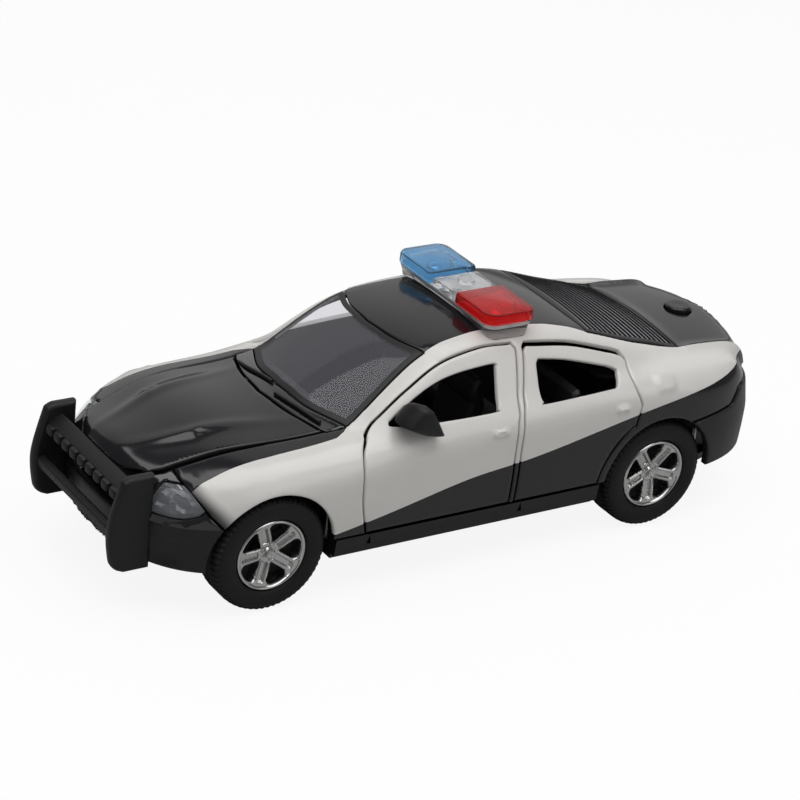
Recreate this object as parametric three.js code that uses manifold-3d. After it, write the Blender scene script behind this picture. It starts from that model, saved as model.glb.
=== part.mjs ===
// Die-cast toy patrol car, about 1:32, as an assembly of separate pieces with opening doors and hood.
// Millimetres, +X forward, +Y to the car's left, +Z up. The model is drawn from mid-wheelbase on the ground.
import * as THREE from "three";
import { mergeVertices } from "three/addons/utils/BufferGeometryUtils.js";
import Module from "manifold-3d";

const wasm = await Module();
wasm.setup();

// Overall layout
const WHEELBASE = 95;
const FRONT_OVERHANG = 26.5; // front axle to the bumper's nose
const REAR_OVERHANG = 33; // rear axle to the painted tail
const BODY_WIDTH = 57.6;
const ROOF_HEIGHT = 48.5;
const SILL_HEIGHT = 9.6; // underside of the sills
const DOOR_SILL = 13.8; // top of the sills, where the doors and the shell end
const BELT_HEIGHT = 35; // lower edge of the side windows
const SHELL_WALL = 1.4;
const PANEL_GAP = 0.6; // round doors and hood
const FIT = 0.3; // between fixed pieces that seat on each other
const TRIM_FIT = 0.25; // round lenses and glass

// Wheels
const TYRE_RADIUS = 12.7;
const TYRE_WIDTH = 9.6;
const RIM_RADIUS = 8;
const WHEEL_INSET = 0.8; // from the body's widest point in to the tyres' outer faces
const ARCH_GAP = 1.2;
const AXLE_RADIUS = 1.2;
const AXLE_FIT = 0.1; // all round the axles in their holes
const HUB_RADIUS = 2.6;
const SPOKES = 5;

// Body surface
const SHOULDER_RUN = 7.5; // width of the rounded shoulder
const SHOULDER_DROP = 6.5; // height of the rounded shoulder
const SHOULDER_POWER = 2.4;
const CABIN_LEAN = 0.62; // how fast the cabin's sides lean in
const RAIL_ROUND = 3.2;
const ROOF_CROWN = 2.9; // fall of the roof out to the body's full width
const BLEND = 1.6; // fillet where the cabin meets the lower body
const BUMPER_PROUD = 0.6;

// Doors and hood
const DOOR_PIVOT_INSET = 1.2; // from the body's widest point to the hinge line
const PIN_RADIUS = 0.5;

// Roof light bar
const BAR_LENGTH = 12.2; // along the car
const BAR_SPAN = 36.6; // across the car
const BAR_CORNER = 2.6;
const BAR_BASE_HEIGHT = 2.9;
const LENS_HEIGHT = 3.1;
const LENS_REACH = 13.4; // each coloured lens, across the car

// Push bar
const PUSH_BAR_REACH = 31.6; // front axle to the front of the push bar
const PUSH_BAR_HEIGHT = 20.8;
const WING_SPACING = 34.2;
const WING_ROOT = 22.4; // front axle to the wings' rear edges
const WING_THICKNESS = 2.6;
const BEAM_TEETH = 9;

// Chassis, cabin and works
const CHASSIS_FLOOR = 8.4;
const CHASSIS_PLATE = 1.6;
const TUB_INSET = 4.3; // from the body's widest point in to the tub's sides
const TUB_FLOOR = 13.9;
const TUB_WALL = 1.2;
const SEAT_WIDTH = 13;
const SEAT_SPREAD = 21; // between the middles of the two front seats
const BUTTON_RADIUS = 2.9;
const BUTTON_TRAVEL = 0.8;
const CELL_RADIUS = 4.4;
const CELL_HEIGHT = 3;
const SPEAKER_RADIUS = 9;
const SCREW_RADIUS = 0.7;
const SCREW_HEAD_RADIUS = 1.7;
const POST_RADIUS = 2.3;

// Places along the car that the rest is measured from
const FRONT = WHEELBASE / 2;
const REAR = -WHEELBASE / 2;
const NOSE = FRONT + FRONT_OVERHANG;
const TAIL = REAR - REAR_OVERHANG;
const HALF_WIDTH = BODY_WIDTH / 2;
const MIDDLE = -10; // the roof's highest stretch
const ARCH_RADIUS = TYRE_RADIUS + ARCH_GAP;
const CHASSIS_TOP = CHASSIS_FLOOR + CHASSIS_PLATE;
const WHEEL_FACE = HALF_WIDTH - WHEEL_INSET;
const WHEEL_MID = WHEEL_FACE - TYRE_WIDTH / 2;
const WHEEL_INNER = WHEEL_FACE - TYRE_WIDTH;
const TUB_WIDTH = BODY_WIDTH - 2 * TUB_INSET;

// Heights between the belt (0) and the roof's highest stretch (1)
const cabinHeight = (share) => BELT_HEIGHT + share * (ROOF_HEIGHT - BELT_HEIGHT);

// Natural cubic curve through a few [place, value] pairs, straight beyond its ends
function guide(pairs) {
  const points = [...pairs].sort((a, b) => a[0] - b[0]);
  const last = points.length - 1;
  const step = (i) => points[i + 1][0] - points[i][0];
  const rise = (i) => (points[i + 1][1] - points[i][1]) / step(i);
  const bend = new Array(last + 1).fill(0);
  const carry = [[0, 0]];
  for (let i = 1; i < last; i += 1) {
    const pivot = 2 * (step(i - 1) + step(i)) - step(i - 1) * carry[i - 1][0];
    const load = 6 * (rise(i) - rise(i - 1)) - step(i - 1) * carry[i - 1][1];
    carry.push([step(i) / pivot, load / pivot]);
  }
  for (let i = last - 1; i > 0; i -= 1) {
    bend[i] = carry[i][1] - carry[i][0] * bend[i + 1];
  }
  const startSlope = rise(0) - (step(0) * bend[1]) / 6;
  const endSlope = rise(last - 1) + (step(last - 1) * bend[last - 1]) / 6;
  return (x) => {
    if (x <= points[0][0]) return points[0][1] + startSlope * (x - points[0][0]);
    if (x >= points[last][0]) return points[last][1] + endSlope * (x - points[last][0]);
    let k = 0;
    while (x > points[k + 1][0]) k += 1;
    const h = step(k);
    const a = (points[k + 1][0] - x) / h;
    const b = 1 - a;
    const curve = ((a ** 3 - a) * bend[k] + (b ** 3 - b) * bend[k + 1]) * h * h;
    return a * points[k][1] + b * points[k + 1][1] + curve / 6;
  };
}

// The body's form: a lower hull with round shoulders, and a cabin hull that leans in
const shoulderHeight = guide([
  [TAIL, 34.2], [REAR - 27.5, 34.6], [REAR - 10, 35.3], [REAR + 8, 36.4], [-12, 35.8], [FRONT - 39.5, 34.8],
  [FRONT - 22, 32.4], [FRONT - 12, 31.1], [FRONT + 8, 29.4], [FRONT + 17, 27.2], [FRONT + 21.5, 26.4],
  [FRONT + 24, 25.4], [FRONT + 25.4, 23.6], [NOSE, 21.4],
]);
const topCrown = guide([
  [TAIL, 1.2], [REAR - 10, 2], [0, 1.6], [FRONT - 22, 3], [FRONT - 12, 3.5], [FRONT + 10, 4.2], [NOSE, 4.5],
]);
const roofLine = guide([
  [REAR - 24.5, BELT_HEIGHT - 8], [REAR - 11, cabinHeight(0.163)], [REAR + 3.5, cabinHeight(0.519)],
  [REAR + 17, cabinHeight(0.83)], [-20, cabinHeight(0.963)], [-8, ROOF_HEIGHT],
  [FRONT - 43.5, cabinHeight(0.963)], [FRONT - 35, cabinHeight(0.844)], [FRONT - 27.5, cabinHeight(0.578)],
  [FRONT - 20.5, cabinHeight(0.281)], [FRONT - 14.5, cabinHeight(0.022)], [FRONT - 7.5, BELT_HEIGHT - 4],
]);
const CABIN_BASE = HALF_WIDTH - 2.5; // the cabin's half width at the belt, mid-car
const cabinBase = guide([
  [REAR - 24.5, CABIN_BASE - 9.9], [REAR - 10, CABIN_BASE - 5.9], [REAR + 7.5, CABIN_BASE - 1.4],
  [-25, CABIN_BASE - 0.2], [-8, CABIN_BASE], [FRONT - 35.5, CABIN_BASE - 0.7], [FRONT - 22.5, CABIN_BASE - 2.2],
  [FRONT - 7.5, CABIN_BASE - 4.4],
]);
const BELT_LINE = BELT_HEIGHT - 1;
const NOSE_ROUND = 2.6;
const TAIL_ROUND = 3;
const NOSE_RAKE = 0.18;
const TAIL_RAKE = 0.2;
const WIDEST_HEIGHT = 22;
const WINDSCREEN_CURVE = 0.4; // how far the glass wraps round at the body's full width
const REAR_GLASS_CURVE = 0.083;
const END_STEEPNESS = 40; // how hard the form closes past its ends

function halfWidth(x, z) {
  const rise = Math.max(z - WIDEST_HEIGHT, 0);
  const front = Math.max((x + NOSE_RAKE * rise - FRONT) / FRONT_OVERHANG, 0);
  const rear = Math.max((REAR - x + TAIL_RAKE * rise) / REAR_OVERHANG, 0);
  const past = Math.max(front - 1, rear - 1, 0);
  const close = (share, power) => (1 - Math.min(share, 1) ** power) ** (1 / power);
  const tuck = (Math.max(WIDEST_HEIGHT - z, 0) / (WIDEST_HEIGHT - SILL_HEIGHT)) ** 2;
  return HALF_WIDTH * close(front, NOSE_ROUND) * close(rear, TAIL_ROUND) - tuck - END_STEEPNESS * past;
}

function lowerField(x, y, z) {
  const w = halfWidth(x, z);
  const span = Math.max(w, 0.5);
  const top = shoulderHeight(x) + topCrown(x) * (1 - Math.min(y / span, 1.2) ** 2);
  const run = Math.min(SHOULDER_RUN, 0.6 * span);
  const u = (y - (w - run)) / run;
  const v = (z - (top - SHOULDER_DROP)) / SHOULDER_DROP;
  const round = (u ** SHOULDER_POWER + v ** SHOULDER_POWER) ** (1 / SHOULDER_POWER);
  return ((u > 0 && v > 0 ? round : Math.max(u, v)) - 1) * Math.min(run, SHOULDER_DROP);
}

function cabinField(x, y, z) {
  const curve = x > MIDDLE ? WINDSCREEN_CURVE : REAR_GLASS_CURVE;
  const across = (y / HALF_WIDTH) ** 2;
  const top = roofLine(MIDDLE + (x - MIDDLE) * (1 + curve * across)) - ROOF_CROWN * across;
  const edge = cabinBase(x) - CABIN_LEAN * Math.max(z - BELT_LINE, 0);
  const u = (y - edge) * 0.85 + RAIL_ROUND;
  const v = (z - top) * 0.9 + RAIL_ROUND;
  return (u > 0 && v > 0 ? Math.hypot(u, v) : Math.max(u, v)) - RAIL_ROUND;
}

// Below zero inside the body, with a fillet between the two hulls
function bodyField(x, y, z) {
  const lower = lowerField(x, y, z);
  const cabin = cabinField(x, y, z);
  const near = Math.max(BLEND - Math.abs(lower - cabin), 0) / BLEND;
  return Math.min(lower, cabin) - (near * near * BLEND) / 4;
}

function edgeOf(inside, low, high) {
  let a = low;
  let b = high;
  for (let i = 0; i < 32; i += 1) {
    const middle = (a + b) / 2;
    if (inside(middle)) a = middle;
    else b = middle;
  }
  return (a + b) / 2;
}
const sideAt = (x, z) => edgeOf((y) => bodyField(x, y, z) < 0, 0, 2 * HALF_WIDTH);
const topAt = (x, y) => edgeOf((z) => bodyField(x, Math.abs(y), z) < 0, DOOR_SILL, 2 * ROOF_HEIGHT);

// A closed body between stations along the car, grown (or shrunk, below zero) all round
const HUB_LINE = 19; // sections are swept about this height
function bodySolid(grow, bottom, stations, rays) {
  const from = TAIL - grow;
  const to = NOSE + grow;
  const rings = [];
  for (let i = 0; i <= stations; i += 1) {
    const even = i / stations;
    const eased = 0.6 * even + 0.4 * (1 - Math.cos(Math.PI * even)) / 2;
    const x = from + (to - from) * THREE.MathUtils.clamp(eased, 0.0005, 0.9995);
    const measured = x - grow * (2 * eased - 1);
    const low = edgeOf((y) => bodyField(measured, y, bottom) < grow, 0, 2 * HALF_WIDTH);
    const lowAngle = Math.atan2(low, bottom - HUB_LINE);
    const ring = [];
    for (let k = -rays; k <= rays; k += 1) {
      const angle = (lowAngle * k) / rays;
      const sin = Math.sin(angle);
      const cos = Math.cos(angle);
      const reach = edgeOf(
        (r) => {
          const z = HUB_LINE + r * cos;
          return z > bottom - 0.01 && bodyField(measured, Math.abs(r * sin), z) < grow;
        },
        0.1, 3 * HALF_WIDTH);
      ring.push([x, reach * sin, Math.abs(k) === rays ? bottom : HUB_LINE + reach * cos]);
    }
    rings.push(ring);
  }
  return loft(rings);
}

// Skins a row of closed rings of equal length, with a fan over each end
function loft(rings) {
  const count = rings[0].length;
  const positions = rings.flat(2);
  const faces = [];
  for (let i = 0; i + 1 < rings.length; i += 1) {
    for (let k = 0; k < count; k += 1) {
      const a = i * count + k;
      const b = i * count + ((k + 1) % count);
      faces.push(a, b, b + count, a, b + count, a + count);
    }
  }
  for (const [start, turn] of [[0, true], [(rings.length - 1) * count, false]]) {
    const ring = positions.slice(start * 3, (start + count) * 3);
    const total = (axis) => ring.filter((_, i) => i % 3 === axis).reduce((sum, v) => sum + v, 0);
    const middle = [0, 1, 2].map((axis) => total(axis) / count);
    const centre = positions.length / 3;
    positions.push(...middle);
    for (let k = 0; k < count; k += 1) {
      const a = start + k;
      const b = start + ((k + 1) % count);
      faces.push(...(turn ? [centre, b, a] : [centre, a, b]));
    }
  }
  const geometry = new THREE.BufferGeometry();
  geometry.setAttribute("position", new THREE.Float32BufferAttribute(positions, 3));
  geometry.setIndex(faces);
  const made = solid(geometry);
  if (made.volume() > 0) return made;
  for (let f = 0; f < faces.length; f += 3) [faces[f + 1], faces[f + 2]] = [faces[f + 2], faces[f + 1]];
  geometry.setIndex(faces);
  return solid(geometry);
}

// Solids to and from three.js geometry
function solid(geometry) {
  const bare = geometry.clone();
  bare.deleteAttribute("normal");
  bare.deleteAttribute("uv");
  const merged = mergeVertices(bare, 1e-4);
  const vertProperties = new Float32Array(merged.attributes.position.array);
  const triVerts = new Uint32Array(merged.index.array);
  return new wasm.Manifold(new wasm.Mesh({ numProp: 3, vertProperties, triVerts }));
}

function geometryOf(made) {
  const { vertProperties, triVerts, numProp } = made.getMesh();
  const positions = [];
  for (let i = 0; i < vertProperties.length; i += numProp) positions.push(...vertProperties.slice(i, i + 3));
  const geometry = new THREE.BufferGeometry();
  geometry.setAttribute("position", new THREE.Float32BufferAttribute(positions, 3));
  geometry.setIndex([...triVerts]);
  return geometry;
}

function mirrored(geometry) {
  const copy = geometry.clone();
  copy.scale(1, -1, 1);
  const index = [...copy.index.array];
  for (let f = 0; f < index.length; f += 3) [index[f + 1], index[f + 2]] = [index[f + 2], index[f + 1]];
  copy.setIndex(index);
  return copy;
}
const mirroredSolid = (made) => solid(mirrored(geometryOf(made)));

// Prisms from a flat outline: across the car, upward, or along the car
const CURVE_STEPS = 4;
const plainExtrude = (shape, depth) =>
  new THREE.ExtrudeGeometry(shape, { depth, bevelEnabled: false, curveSegments: CURVE_STEPS });
const acrossPrism = (shape, from, to) =>
  solid(plainExtrude(shape, to - from).rotateX(Math.PI / 2).translate(0, to, 0));
const upPrism = (shape, from, to) => solid(plainExtrude(shape, to - from).translate(0, 0, from));
const alongPrism = (shape, from, to) =>
  solid(plainExtrude(shape, to - from).rotateX(Math.PI / 2).rotateZ(Math.PI / 2).translate(from, 0, 0));

function polygon(points) {
  return new THREE.Shape(points.map(([a, b]) => new THREE.Vector2(a, b)));
}

// Moves every point of a closed outline outward (inward below zero)
function grown(points, by) {
  const turn = Math.sign(THREE.ShapeUtils.area(points.map(([a, b]) => ({ x: a, y: b }))));
  return points.map((point, i) => {
    const before = points[(i + points.length - 1) % points.length];
    const after = points[(i + 1) % points.length];
    const one = [point[1] - before[1], before[0] - point[0]];
    const two = [after[1] - point[1], point[0] - after[0]];
    const unit = (v) => v.map((c) => (turn * c) / Math.hypot(...v));
    const [n, m] = [unit(one), unit(two)];
    const share = 1 + n[0] * m[0] + n[1] * m[1];
    return [point[0] + (by * (n[0] + m[0])) / share, point[1] + (by * (n[1] + m[1])) / share];
  });
}

// Points along a smooth curve through a few places
function through(places, steps) {
  const curve = new THREE.SplineCurve(places.map(([a, b]) => new THREE.Vector2(a, b)));
  return curve.getPoints(steps).map((p) => [p.x, p.y]);
}

function arc(centreX, centreZ, radius, fromAngle, toAngle, steps) {
  return Array.from({ length: steps + 1 }, (_, i) => {
    const angle = fromAngle + ((toAngle - fromAngle) * i) / steps;
    return [centreX + radius * Math.cos(angle), centreZ + radius * Math.sin(angle)];
  });
}

function block(low, high) {
  const size = high.map((h, i) => h - low[i]);
  const middle = high.map((h, i) => (h + low[i]) / 2);
  return solid(new THREE.BoxGeometry(...size).translate(...middle));
}
function upright(x, y, radius, from, to, sides = 16) {
  const pillar = new THREE.CylinderGeometry(radius, radius, to - from, sides).rotateX(Math.PI / 2);
  return solid(pillar.translate(x, y, (from + to) / 2));
}
const crosswise = (x, z, radius, from, to, sides = 22) =>
  solid(new THREE.CylinderGeometry(radius, radius, to - from, sides).translate(x, (from + to) / 2, z));
const turned = (profile, sides) =>
  new THREE.LatheGeometry(profile.map(([r, y]) => new THREE.Vector2(r, y)), sides);

// Assembly helpers
const car = new THREE.Group();
car.position.x = (REAR_OVERHANG + BUMPER_PROUD - PUSH_BAR_REACH) / 2;

function add(name, shape, color, roughness, metalness = 0) {
  const geometry = shape.isBufferGeometry ? shape : geometryOf(shape);
  geometry.deleteAttribute("normal");
  const mesh = new THREE.Mesh(geometry, new THREE.MeshStandardMaterial({ color, roughness, metalness }));
  mesh.name = name;
  mesh.geometry.computeVertexNormals();
  car.add(mesh);
}
const SIDES = [["left", (made) => made], ["right", mirroredSolid]];
const addPair = (name, made, ...look) => {
  for (const [side, turn] of SIDES) add(`${name}_${side}`, turn(made), ...look);
};

// Colours
const WHITE_PAINT = 0xe8e6e1;
const BLACK_PAINT = 0x17171a;
const SATIN_BLACK = 0x222224;
const CHROME = 0xc9ccd0;
const CLEAR = 0xdfe6ea;

// Outlines in side view (x, z)
const DOOR_FOOT = DOOR_SILL + FIT;
const frontDoorLine = [
  ...through([
    [FRONT - 21.5, DOOR_FOOT], [FRONT - 20, 21], [FRONT - 19.7, 28], [FRONT - 20.4, BELT_HEIGHT - 3.7],
    [FRONT - 22.3, BELT_HEIGHT - 1.8],
  ], 6),
  ...through([
    [FRONT - 24.5, BELT_HEIGHT - 0.2], [FRONT - 32.8, cabinHeight(0.385)], [FRONT - 41, cabinHeight(0.674)],
    [-3.5, cabinHeight(0.793)], [-11.4, cabinHeight(0.785)],
  ], 7),
  ...through([
    [-11.9, cabinHeight(0.733)], [-10.8, cabinHeight(0.326)], [-9.3, BELT_LINE], [-8.5, BELT_HEIGHT - 5],
    [-8.5, DOOR_FOOT],
  ], 5),
];
const frontWindowLine = [
  ...through([
    [-6.5, cabinHeight(0.6)], [FRONT - 45.5, cabinHeight(0.563)], [FRONT - 39.5, cabinHeight(0.481)],
    [FRONT - 34, cabinHeight(0.319)],
    [FRONT - 27.5, BELT_HEIGHT + 0.4],
  ], 5),
  [FRONT - 28, BELT_HEIGHT - 0.2],
  [-4.9, BELT_HEIGHT],
  [-5.3, BELT_HEIGHT + 0.6],
];
const REAR_DOOR_TOP_DROP = 0.8; // more room above the rear doors, for their swing
const REAR_DOOR_ARC = ARCH_RADIUS + 2.3;
const rearDoorOutline = (drop) => [
  [-10.4, DOOR_FOOT],
  ...through([
    [-10.4, 26], [-10.7, BELT_HEIGHT - 2.5], [-11.8, cabinHeight(0.052)], [-13.3, cabinHeight(0.407)],
    [-14.2, cabinHeight(0.726) - drop],
  ], 5),
  ...through([
    [-15, cabinHeight(0.77)], [-25.7, cabinHeight(0.667)], [REAR + 12, cabinHeight(0.467)],
    [REAR + 8.9, cabinHeight(0.385)],
  ], 4).map(([x, z]) => [x, z - drop]),
  ...through([
    [REAR + 8, cabinHeight(0.281)], [REAR + 8.5, BELT_HEIGHT + 0.4], [REAR + 7.2, BELT_HEIGHT - 4],
  ], 4),
  ...arc(REAR, TYRE_RADIUS, REAR_DOOR_ARC, 1.05, Math.asin((DOOR_FOOT - TYRE_RADIUS) / REAR_DOOR_ARC), 4),
];
const rearDoorLine = rearDoorOutline(REAR_DOOR_TOP_DROP);
const rearWindowLine = [
  [-16.7, cabinHeight(0.533)],
  ...through([
    [-17.3, cabinHeight(0.548)], [-25, cabinHeight(0.459)], [REAR + 12, cabinHeight(0.244)],
    [REAR + 11.3, cabinHeight(0.163)], [REAR + 12.6, cabinHeight(0.044)],
  ], 6),
  [-15.9, BELT_HEIGHT - 0.1],
];

// Outlines from above (x, y), for the left half and mirrored
const bothHalves = (half) => [...half, ...half.slice(1, -1).reverse().map(([x, y]) => [x, -y])];
const HOOD_LOW = 26.2; // the hood's nose ends here
const HOOD_REAR = FRONT - 10.3;
const HOOD_REAR_CORNER = FRONT - 15.1;
const HOOD_CORNER_HALF = HALF_WIDTH - 10.7;
const GLASS_BASE = FRONT - 14.7;
const GLASS_BASE_CORNER = FRONT - 20;
const GLASS_BASE_HALF = HALF_WIDTH - 9.8;
const GLASS_TOP = FRONT - 35.1;
const GLASS_TOP_CORNER = FRONT - 38.9;
const GLASS_TOP_HALF = HALF_WIDTH - 12.9;
const SCREEN_LOW = BELT_HEIGHT - 4; // the windscreen's outline cuts the skin above this height
const REAR_GLASS_LOW = BELT_HEIGHT - 2;
const COWL_LOW = BELT_HEIGHT - 6;
const planAt = (x) => halfWidth(x, WIDEST_HEIGHT);
const insideFender = (x, strip) => [x, planAt(x) - strip];
const hoodSides = through([
  [HOOD_REAR_CORNER, HOOD_CORNER_HALF], insideFender(FRONT + 3, 11.45), insideFender(NOSE - 7.5, 8.7),
], 4);
const hoodNose = through([insideFender(NOSE - 5, 7.2), insideFender(NOSE - 2.1, 7.7), [NOSE - 1.2, 0]], 4);
const hoodRear = through([
  [HOOD_REAR, 0], [HOOD_REAR - 1.2, HOOD_CORNER_HALF / 2], [HOOD_REAR_CORNER + 0.9, HOOD_CORNER_HALF - 0.9],
], 4);
const hoodLine = bothHalves([...hoodRear, ...hoodSides, ...hoodNose]);
const glassBase = through([
  [GLASS_BASE, 0], [GLASS_BASE - 1.1, GLASS_BASE_HALF / 2], [GLASS_BASE_CORNER, GLASS_BASE_HALF],
], 4);
const glassTop = through([
  [GLASS_TOP_CORNER, GLASS_TOP_HALF], [GLASS_TOP - 1, GLASS_TOP_HALF / 2 + 0.5], [GLASS_TOP, 0],
], 4);
const windscreenLine = bothHalves([...glassBase, ...glassTop]);
const cowlLine = bothHalves([
  ...hoodRear.map(([x, y]) => [x - PANEL_GAP, y]),
  [HOOD_REAR_CORNER - PANEL_GAP, HOOD_CORNER_HALF + 0.6],
  ...glassBase.map(([x, y]) => [x + TRIM_FIT, y]).reverse(),
]);
const REAR_GLASS_TOP = REAR + 16.9;
const REAR_GLASS_BASE = REAR - 10.8;
const REAR_GLASS_HALF = HALF_WIDTH - 11.8;
const rearGlassLine = bothHalves([
  [REAR_GLASS_BASE, 0],
  [REAR_GLASS_BASE + 0.8, REAR_GLASS_HALF],
  [REAR + 3, REAR_GLASS_HALF + 0.3],
  ...through([
    [REAR_GLASS_TOP - 1.7, REAR_GLASS_HALF - 0.3], [REAR_GLASS_TOP - 0.5, REAR_GLASS_HALF / 2],
    [REAR_GLASS_TOP, 0],
  ], 3),
]);

// Where the painted shell stops at the front and the rear bumper's top edge (x, z)
const frontBreak = [
  [FRONT + 17.6, 60], [FRONT + 17.3, 28.5], [FRONT + 14.2, 23.6], [FRONT + 9.5, 18.5], [FRONT + 9.5, 0],
];
const rearBreak = [[REAR - 8, 24.2], [REAR - 20, 25.4], [REAR - 23, 28.4], [REAR - 50, 28.4]];
const BUMPER_FOOT = SILL_HEIGHT - 1;
const rearBumperFoot = [[REAR - 60, 15], [REAR - 30, 12.4], [REAR - 14, BUMPER_FOOT]];

const STATIONS = 23;
const RAYS = 9;
const outer = bodySolid(0, SILL_HEIGHT, STATIONS, RAYS);
const INNER_STATIONS = 17;
const INNER_RAYS = 7;
const insetBody = (by, bottom = SILL_HEIGHT - 2) => bodySolid(-by, bottom, INNER_STATIONS, INNER_RAYS);
const inner = insetBody(SHELL_WALL);
const shell = outer.subtract(inner);
const OUTSIDE = 2 * HALF_WIDTH;
const OVERHEAD = 2 * ROOF_HEIGHT;

// Keeps the doors' outlines to the outside of the cabin, behind a plane that leans like its sides
const leaningSlab = alongPrism(polygon([
  [HALF_WIDTH - 8, 0], [OUTSIDE, 0], [OUTSIDE, OVERHEAD], [0, OVERHEAD], [0, ROOF_HEIGHT + 18],
  [HALF_WIDTH - 8, BELT_LINE],
]), TAIL, NOSE);
const leftPrism = (line) => acrossPrism(polygon(line), 0, OUTSIDE).intersect(leaningSlab);
const widePrism = (line) => acrossPrism(polygon(line), -OUTSIDE, OUTSIDE);
const topPrism = (line, from = HOOD_LOW) => upPrism(polygon(line), from, OVERHEAD);
const bothSides = (made) => made.add(mirroredSolid(made));
const archCut = bothSides(
  crosswise(FRONT, TYRE_RADIUS, ARCH_RADIUS, WHEEL_INNER - 1, OUTSIDE)
    .add(crosswise(REAR, TYRE_RADIUS, ARCH_RADIUS, WHEEL_INNER - 1, OUTSIDE)));

const frontRegion = widePrism([...frontBreak, [NOSE + 20, 0], [NOSE + 20, 60]]);
const frontRegionWide = widePrism(grown([...frontBreak, [NOSE + 20, 0], [NOSE + 20, 60]], FIT));
const rearBumperOutline = [...rearBreak, ...rearBumperFoot];
const rearRegion = widePrism(rearBumperOutline);
const rearRegionWide = widePrism([
  ...grown(rearBumperOutline, FIT).slice(0, rearBreak.length), [REAR - 50, 0], [REAR - 8 + FIT, 0],
]);

// Front and tail lamps, as regions of the body's skin
const LAMP_INNER = planAt(NOSE - 8) - 6.8;
const lampLine = [
  [FRONT + 16.9, 28.2], [FRONT + 14.9, 24.6],
  ...through([[FRONT + 16, 23.6], [FRONT + 20, 22.6], [NOSE + 2, 22.9]], 4),
  [NOSE + 2, 27.6],
];
const TAIL_LAMP_INNER = 7;
const tailLampLine = [[TAIL + 6.3, 33], [TAIL + 7.2, 29.6], [TAIL - 3, 29.2], [TAIL - 3, 33.4]];
const lampRegion = (line, from, by) => acrossPrism(polygon(grown(line, by)), from - by, OUTSIDE);

// Grille and intake openings in the front bumper, and the light button's hole in the deck
const GRILLE_HALF = LAMP_INNER - 4.4;
const GRILLE_LOW = 19.6;
const GRILLE_HIGH = 25.2;
const INTAKE_HALF = GRILLE_HALF - 1.1;
const INTAKE_LOW = 11.4;
const INTAKE_HIGH = 15.6;
const BUTTON_X = REAR - 23;
const deckHeight = topAt(BUTTON_X, 0);
const frontBox = (half, low, high) => block([FRONT + 12, -half, low], [NOSE + 9, half, high]);

// The cells' bay under the tail, and the screw posts cast under the shell
const CELL_X = REAR - 19.3;
const CELL_PITCH = 2 * CELL_RADIUS + 0.8;
const COVER_LENGTH = 2 * CELL_RADIUS + 3;
const COVER_HALF = 1.5 * CELL_PITCH + 0.7;
const HOLDER_LIP = 1.3; // how far the cells' holder reaches past the bay
const REAR_POST_Y = COVER_HALF + HOLDER_LIP + POST_RADIUS + 3 * FIT;
const POSTS = [[FRONT - 16.5, HALF_WIDTH - 7.8], [REAR - 16.2, REAR_POST_Y]];
const POST_FOOT = CHASSIS_TOP + FIT;
const insideBody = insetBody(SHELL_WALL / 2);
const SCREW_REACH = 8;
function screwPosts() {
  return POSTS.map(([x, y]) =>
    upright(x, y, POST_RADIUS, POST_FOOT, shoulderHeight(x), 8)
      .intersect(insideBody)
      .subtract(upright(x, y, SCREW_RADIUS + 0.15, POST_FOOT - 1, POST_FOOT + SCREW_REACH, 8)))
    .reduce((a, b) => a.add(b));
}

const hoodOpening = topPrism(grown(hoodLine, PANEL_GAP), HOOD_LOW - PANEL_GAP);

// Painted shell: roof, pillars, fenders, quarters and deck
function bodyShell() {
  const belowDoors = block([TAIL - 9, -OUTSIDE, -1], [NOSE + 9, OUTSIDE, DOOR_SILL]);
  const openings = [
    ...[frontDoorLine, rearDoorOutline(0)].map((line) => bothSides(leftPrism(grown(line, PANEL_GAP)))),
    hoodOpening,
    topPrism(grown(cowlLine, TRIM_FIT), COWL_LOW),
    topPrism(grown(windscreenLine, TRIM_FIT), SCREEN_LOW),
    topPrism(grown(rearGlassLine, TRIM_FIT), REAR_GLASS_LOW),
    bothSides(lampRegion(tailLampLine, TAIL_LAMP_INNER, TRIM_FIT)),
    upright(BUTTON_X, 0, BUTTON_RADIUS + TRIM_FIT, deckHeight - 4, deckHeight + 4, 24),
    frontRegionWide, rearRegionWide, belowDoors, archCut,
  ];
  const skin = openings.reduce((made, cut) => made.subtract(cut), shell);
  return skin.add(bothSides(screwPosts()));
}
const BOARD_TOP = deckHeight - 7.9;
const BOSS_RADIUS = 1.6;
const BOSS_X = BUTTON_X + 6;
const BOSS_Y = 8;
const boardBosses = bothSides(
  upright(BOSS_X, BOSS_Y, BOSS_RADIUS, BOARD_TOP + FIT, deckHeight - SHELL_WALL / 2, 8).intersect(insideBody));
add("body_shell", bodyShell().add(boardBosses), WHITE_PAINT, 0.3);

// Doors with their window holes, each with a hinge pin cast on that turns in a socket in the sill
const PIVOT_Y = HALF_WIDTH - DOOR_PIVOT_INSET;
const FRONT_PIVOT_X = FRONT - 22.4;
const REAR_PIVOT_X = -12;
const PIN_LOW = DOOR_SILL - 2.4;
const PIN_HIGH = DOOR_FOOT + 0.5;
const DOOR_SKIN = SHELL_WALL + 0.6; // the lower door panels are thicker than the window frames
const doorInner = insetBody(DOOR_SKIN);
const FRAME_SKIN = 1; // window frames
const frameSkin = outer.subtract(insetBody(FRAME_SKIN));
const belowBelt = block([TAIL, 0, DOOR_FOOT], [NOSE, OUTSIDE, BELT_HEIGHT - 1.2]);
function door(line, window, pivotX) {
  const panel = leftPrism(line);
  const skin = frameSkin.add(outer.subtract(doorInner).intersect(belowBelt)).intersect(panel);
  const glassClear = topPrism(grown(windscreenLine, 2 * TRIM_FIT), SCREEN_LOW);
  const pin = upright(pivotX, PIVOT_Y, PIN_RADIUS, PIN_LOW, PIN_HIGH, 6);
  return skin.subtract(glassClear).subtract(leftPrism(window)).add(pin);
}
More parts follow.
